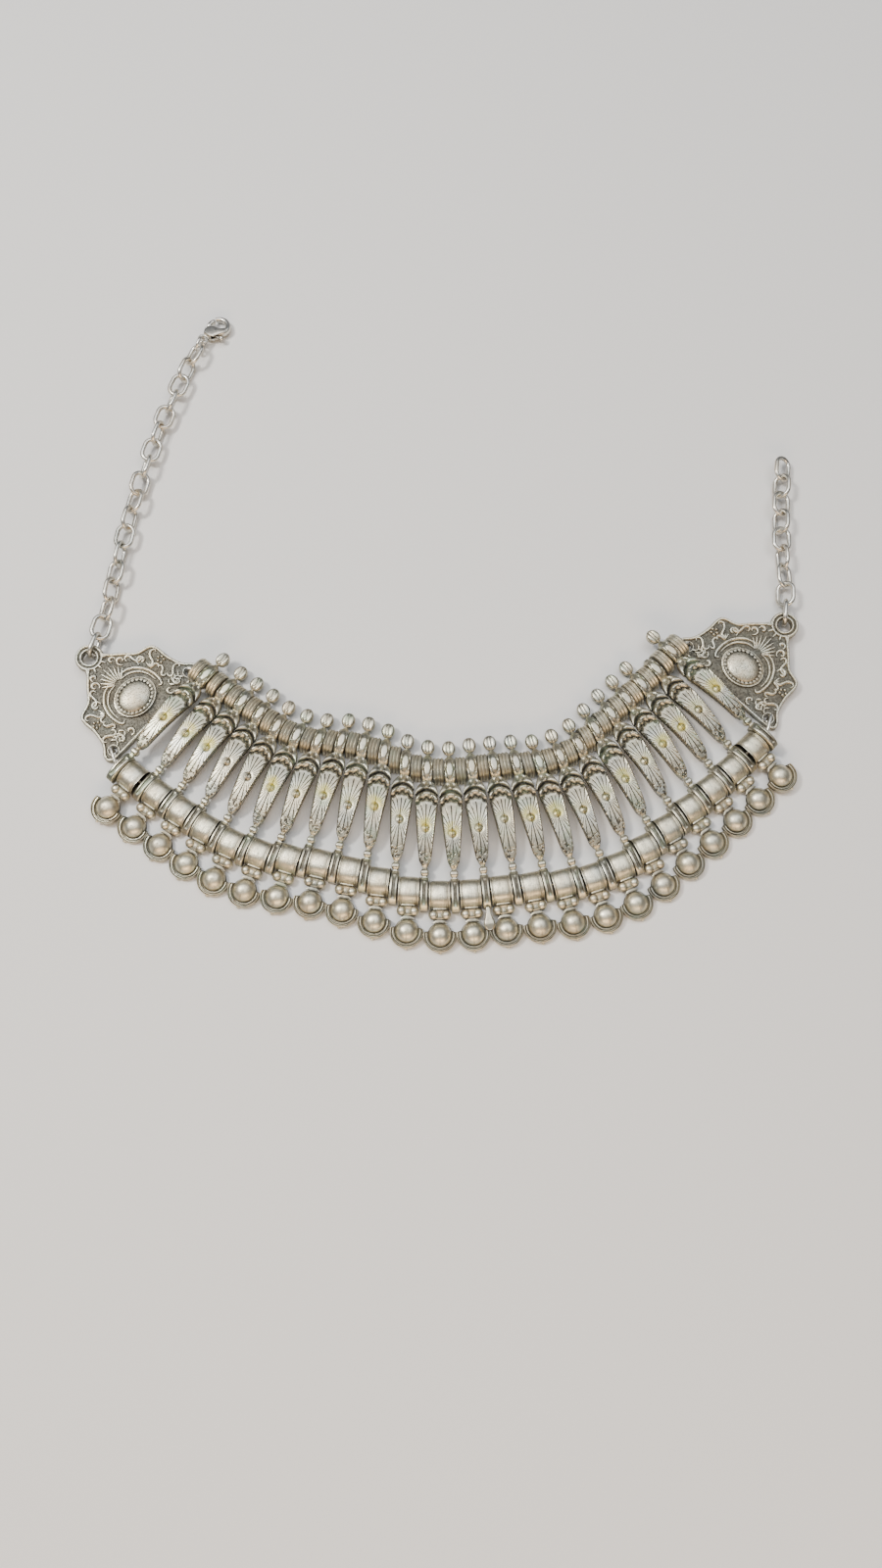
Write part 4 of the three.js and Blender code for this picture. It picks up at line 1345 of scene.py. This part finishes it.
def lay_chain(name, plate, route, rolls):
    """Lays a chain from its plate, and gives its last link's middle and heading."""
    hole = plate @ Vector((LOBE_OUT, 0, 0))
    heading = radians(between(route, 1))
    reach = (LINK_LENGTH - LINK_WIRE) / 2 + LOBE_HOLE - LINK_WIRE / 2 - 2 * GAP
    centre = Vector((hole.x, hole.y, CHAIN_LEVEL)) + Vector((cos(heading), sin(heading), 0)) * reach
    bm = bmesh.new()
    for i, roll in enumerate(rolls):
        heading = radians(between(route, i + 1))
        way = Vector((cos(heading), sin(heading), 0))
        centre = centre + way * (LINK_PITCH / 2 if i else 0)
        form = bmesh.new()
        tube(form, link_path(LINK_LENGTH, LINK_WIDTH, LINK_WIRE), LINK_WIRE / 2, closed=True)
        turn = Matrix.Rotation(heading - pi / 2, 4, "Z") @ Matrix.Rotation(radians(roll), 4, "Y")
        stamp(bm, form, Matrix.Translation(centre) @ turn)
        form.free()
        end = centre.copy()
        centre = centre + way * (LINK_PITCH / 2)
    write_maps(bm)
    piece = place_piece(bm, name + "_links", bright_finish)
    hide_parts(name)
    return end, way


last_link, chain_way = lay_chain("chain_left", plates["left"], LEFT_ROUTE, LEFT_ROLLS)
lay_chain("chain_right", plates["right"], RIGHT_ROUTE, RIGHT_ROLLS)
print("the long chain ends at", [round(v, 1) for v in last_link])

# %% [markdown]
# A small round ring stands on edge between the long chain's last link and the clasp's eye. It is a
# link whose length is its width. A torus would serve as well.

# %% The ring
RING_WIDTH = 5.6
RING_WIRE = 1.0
RING_SLACK = 0.35
ring_reach = (RING_WIDTH - RING_WIRE) / 2
ring_step = (LINK_LENGTH - LINK_WIRE) / 2 + ring_reach - RING_WIRE / 2 - LINK_WIRE / 2 - GAP - RING_SLACK
ring_centre = last_link + chain_way * ring_step
ring_centre.z = RING_WIDTH / 2
heading = math.atan2(chain_way.y, chain_way.x)
bm = bmesh.new()
tube(bm, link_path(RING_WIDTH, RING_WIDTH, RING_WIRE, 24), RING_WIRE / 2, closed=True)
write_maps(bm)
turn = Matrix.Rotation(heading, 4, "Z") @ Matrix.Rotation(pi / 2, 4, "X")
ring = place_piece(bm, "clasp_ring_wire", bright_finish, place=Matrix.Translation(ring_centre) @ turn)
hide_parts("clasp_ring")
print("the ring stands at", [round(v, 1) for v in ring_centre])

# %% [markdown]
# The clasp is a small lobster claw: an eye of wire, two cheeks that swell over the hinge pin, and a
# curved hook that thins to its tip. Rounded bars through a few rows make them, each row with its
# place, width and thickness. Sculpting one lump would hide the gap between the cheeks, in which the
# lever has to turn.

# %% The clasp's body
CLASP_THICKNESS = 2.6
CLASP_REACH = 10.6
CLASP_TURN = radians(47)
PIVOT = Vector((3.7, 0.2, 0))
EYE_WIDTH = 3.6
EYE_WIRE = 0.85
EYE_RADIUS = 0.43
CHEEK_LEVEL = 0.95
PIN_RADIUS = 0.45
BAR_SIDES = 14
EYE_STEM = [(1.3, 0, 1.2, 0.9), (1.7, 0, 1.9, 1.9), (2.0, 0, 2.6, 2.4)]
CHEEK = [
    (1.2, 0, 1.5, 0.6), (2.0, 0.1, 3.1, 0.7), (3.0, 0, 4.2, 0.7), (3.9, -0.45, 3.9, 0.7),
    (4.8, -1.3, 2.7, 0.7), (6.0, -2.15, 1.9, 0.6), (7.3, -2.5, 1.2, 0.3),
]
HOOK = [
    (4.6, -1.8, 1.2, 1.9), (6.0, -2.5, 1.7, 2.1), (7.7, -2.55, 1.75, 2.1), (9.1, -1.6, 1.65, 2.0),
    (9.75, 0.0, 1.55, 1.95), (9.45, 1.5, 1.4, 1.85), (8.7, 2.45, 1.25, 1.75), (7.95, 2.85, 0.95, 1.6),
]
dip = math.asin((RING_WIDTH / 2 - CLASP_THICKNESS / 2) / CLASP_REACH)
clasp_place = Matrix.Translation(ring_centre + chain_way * ring_reach)
clasp_place = clasp_place @ Matrix.Rotation(CLASP_TURN, 4, "Z") @ Matrix.Rotation(dip, 4, "Y")


def bar(bm, rows, edge, smooth=4):
    """A rounded bar through rows of centre, width and thickness in the clasp's plane."""
    centres = curve_through([Vector((x, y, 0)) for x, y, _, _ in rows], smooth)
    sizes = curve_through([Vector((w, t, 0)) for _, _, w, t in rows], smooth)
    rings = []
    for i, point in enumerate(centres):
        way = (centres[min(i + 1, len(centres) - 1)] - centres[max(i - 1, 0)]).normalized()
        side = Vector((-way.y, way.x, 0))
        ring = []
        for k in range(BAR_SIDES):
            angle = 2 * pi * (k + 0.5) / BAR_SIDES
            wide = math.copysign(abs(cos(angle)) ** edge, cos(angle))
            tall = math.copysign(abs(sin(angle)) ** edge, sin(angle))
            ring.append(point + side * (wide * sizes[i].x / 2) + Vector((0, 0, tall * sizes[i].y / 2)))
        rings.append(ring)
    skin(bm, rings)


def cheek(bm, level):
    """One of the two cheeks that hold the hinge pin."""
    before = len(bm.verts)
    bar(bm, CHEEK, 0.6)
    bm.verts.ensure_lookup_table()
    bmesh.ops.translate(bm, verts=bm.verts[before:], vec=(0, 0, level))


def clasp_form():
    bm = bmesh.new()
    tube(bm, link_path(EYE_WIDTH, EYE_WIDTH, EYE_WIRE, 20), EYE_RADIUS, closed=True)
    bar(bm, EYE_STEM, 0.7)
    for level in (-CHEEK_LEVEL, CHEEK_LEVEL):
        cheek(bm, level)
    bar(bm, HOOK, 0.7)
    pin = bmesh.ops.create_cone(
        bm, cap_ends=True, segments=14, radius1=PIN_RADIUS, radius2=PIN_RADIUS, depth=CLASP_THICKNESS - 0.1,
    )
    bmesh.ops.translate(bm, verts=pin["verts"], vec=PIVOT)
    return bm


def clasp_slot_shade(x, y, z):
    """Painted shade in the slot between the cheeks."""
    # Painted shade on the inner faces of the cheeks and on the pin, where the lever turns.
    return 0.8 if abs(z) < 0.65 and 2.0 < x < 4.6 and abs(y) < 2.0 else 0.0


bm = clasp_form()
write_maps(bm, clasp_slot_shade)
claw = place_piece(bm, "clasp_claw", bright_finish, place=clasp_place, crease=50)
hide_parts("clasp_body")
print("clasp at", [round(v, 1) for v in clasp_place.translation])

# %% [markdown]
# The lever turns on the pin between the cheeks. Its gate closes the hook, and its nub sticks out on
# the other side for a fingernail. It has to be one piece on a body of its own, because it moves, and
# thin enough at the pin to stay clear of both cheeks.

# %% The clasp's lever
LEVER_ARM = [
    (4.15, -3.4, 1.2, 0.6), (4.0, -1.8, 1.6, 0.6), (PIVOT.x, PIVOT.y, 2.2, 0.6), (3.9, 1.6, 1.6, 0.62),
    (4.7, 2.35, 1.3, 0.9),
]
GATE = [
    (4.1, 2.0, 1.0, 0.7), (4.7, 2.4, 1.35, 1.7), (5.9, 2.75, 1.35, 1.85), (7.0, 2.65, 1.15, 1.85),
    (7.4, 2.55, 0.7, 1.4),
]
NUB_AT = (4.2, -3.7, 0)
NUB_RADIUS = 0.9


def lever_form():
    bm = bmesh.new()
    bar(bm, LEVER_ARM, 0.5)
    bar(bm, GATE, 0.6)
    ball(bm, NUB_AT, NUB_RADIUS)
    return bm


bm = lever_form()
# Painted shade on the lever's thin middle, where it sits between the cheeks.
write_maps(bm, lambda x, y, z: 0.5 * (abs(z) < 0.35))
lever = place_piece(bm, "clasp_gate", bright_finish, body="lever", place=clasp_place, crease=50)
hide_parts("clasp_lever")
print("the lever has", len(lever.data.polygons), "faces")

# %% [markdown]
# The stage is a plain pale floor, large enough to fill the camera's picture. Its far edge shows only
# in low views.

# %% The floor
FLOOR_REACH = 3.0
floor_material = bpy.data.materials.new("pale floor")
floor_material.use_nodes = True
floor_shader = floor_material.node_tree.nodes["Principled BSDF"]
floor_shader.inputs["Base Color"].default_value = (0.72, 0.71, 0.69, 1)
floor_shader.inputs["Roughness"].default_value = 0.8
bm = bmesh.new()
bmesh.ops.create_grid(bm, x_segments=1, y_segments=1, size=FLOOR_REACH)
floor_mesh = bpy.data.meshes.new("floor")
bm.to_mesh(floor_mesh)
bm.free()
floor_mesh.materials.append(floor_material)
floor = bpy.data.objects.new("floor", floor_mesh)
bpy.context.scene.collection.objects.link(floor)
print("the floor is", 2 * FLOOR_REACH, "m wide")

# %% [markdown]
# Metal shows little but what it mirrors, so the lights are what makes it look like metal. A broad
# cool light from above and behind fills the tops, a warm one from the near side gilds the faces
# turned towards the viewer, a small one on the left gives the balls their bright spots, and a dim
# surround leaves something dark to mirror.


# %% Lights
def area_light(name, place, size, power, colour):
    light = bpy.data.lights.new(name, "AREA")
    light.shape = "RECTANGLE"
    light.size, light.size_y = size
    light.energy, light.color = power, colour
    lamp = bpy.data.objects.new(name, light)
    lamp.location = place
    lamp.rotation_euler = (-Vector(place)).to_track_quat("-Z", "Y").to_euler()
    bpy.context.scene.collection.objects.link(lamp)


area_light("overhead", (0.0, 0.24, 1.0), (1.3, 0.95), 12.0, (0.95, 0.97, 1.0))
area_light("near_warm", (0.05, -0.75, 0.4), (0.9, 0.25), 5.5, (1.0, 0.74, 0.48))
area_light("left_key", (-0.5, 0.1, 0.8), (0.16, 0.16), 7.0, (1.0, 0.97, 0.92))
world = bpy.data.worlds.new("surround")
world.use_nodes = True
surround = world.node_tree.nodes["Background"].inputs
surround["Color"].default_value = (0.55, 0.6, 0.68, 1)
surround["Strength"].default_value = 0.22
bpy.context.scene.world = world
print("lights", len(bpy.data.lights))

# %% [markdown]
# The camera looks down steeply from the near side, a third of a metre away. So close, the near edge
# of the necklace shows a little larger than the far one, which a longer lens from farther off would
# lose. Its shift stays at nothing, and the framing comes from where it aims.

# %% Camera
ELEVATION = radians(74)
DISTANCE = 0.333
SENSOR = 36.0
LENS = 27.0
camera_data = bpy.data.cameras.new("camera")
camera_data.sensor_fit = "VERTICAL"
camera_data.sensor_height = SENSOR
camera_data.lens = LENS
camera_data.clip_start = 0.01
camera = bpy.data.objects.new("camera", camera_data)
target = -MIDDLE * MM
camera.location = target + Vector((0, -cos(ELEVATION), sin(ELEVATION))) * DISTANCE
camera.rotation_euler = (pi / 2 - ELEVATION, 0, 0)
bpy.context.scene.collection.objects.link(camera)
bpy.context.scene.camera = camera
print("the camera stands at", [round(v, 3) for v in camera.location])
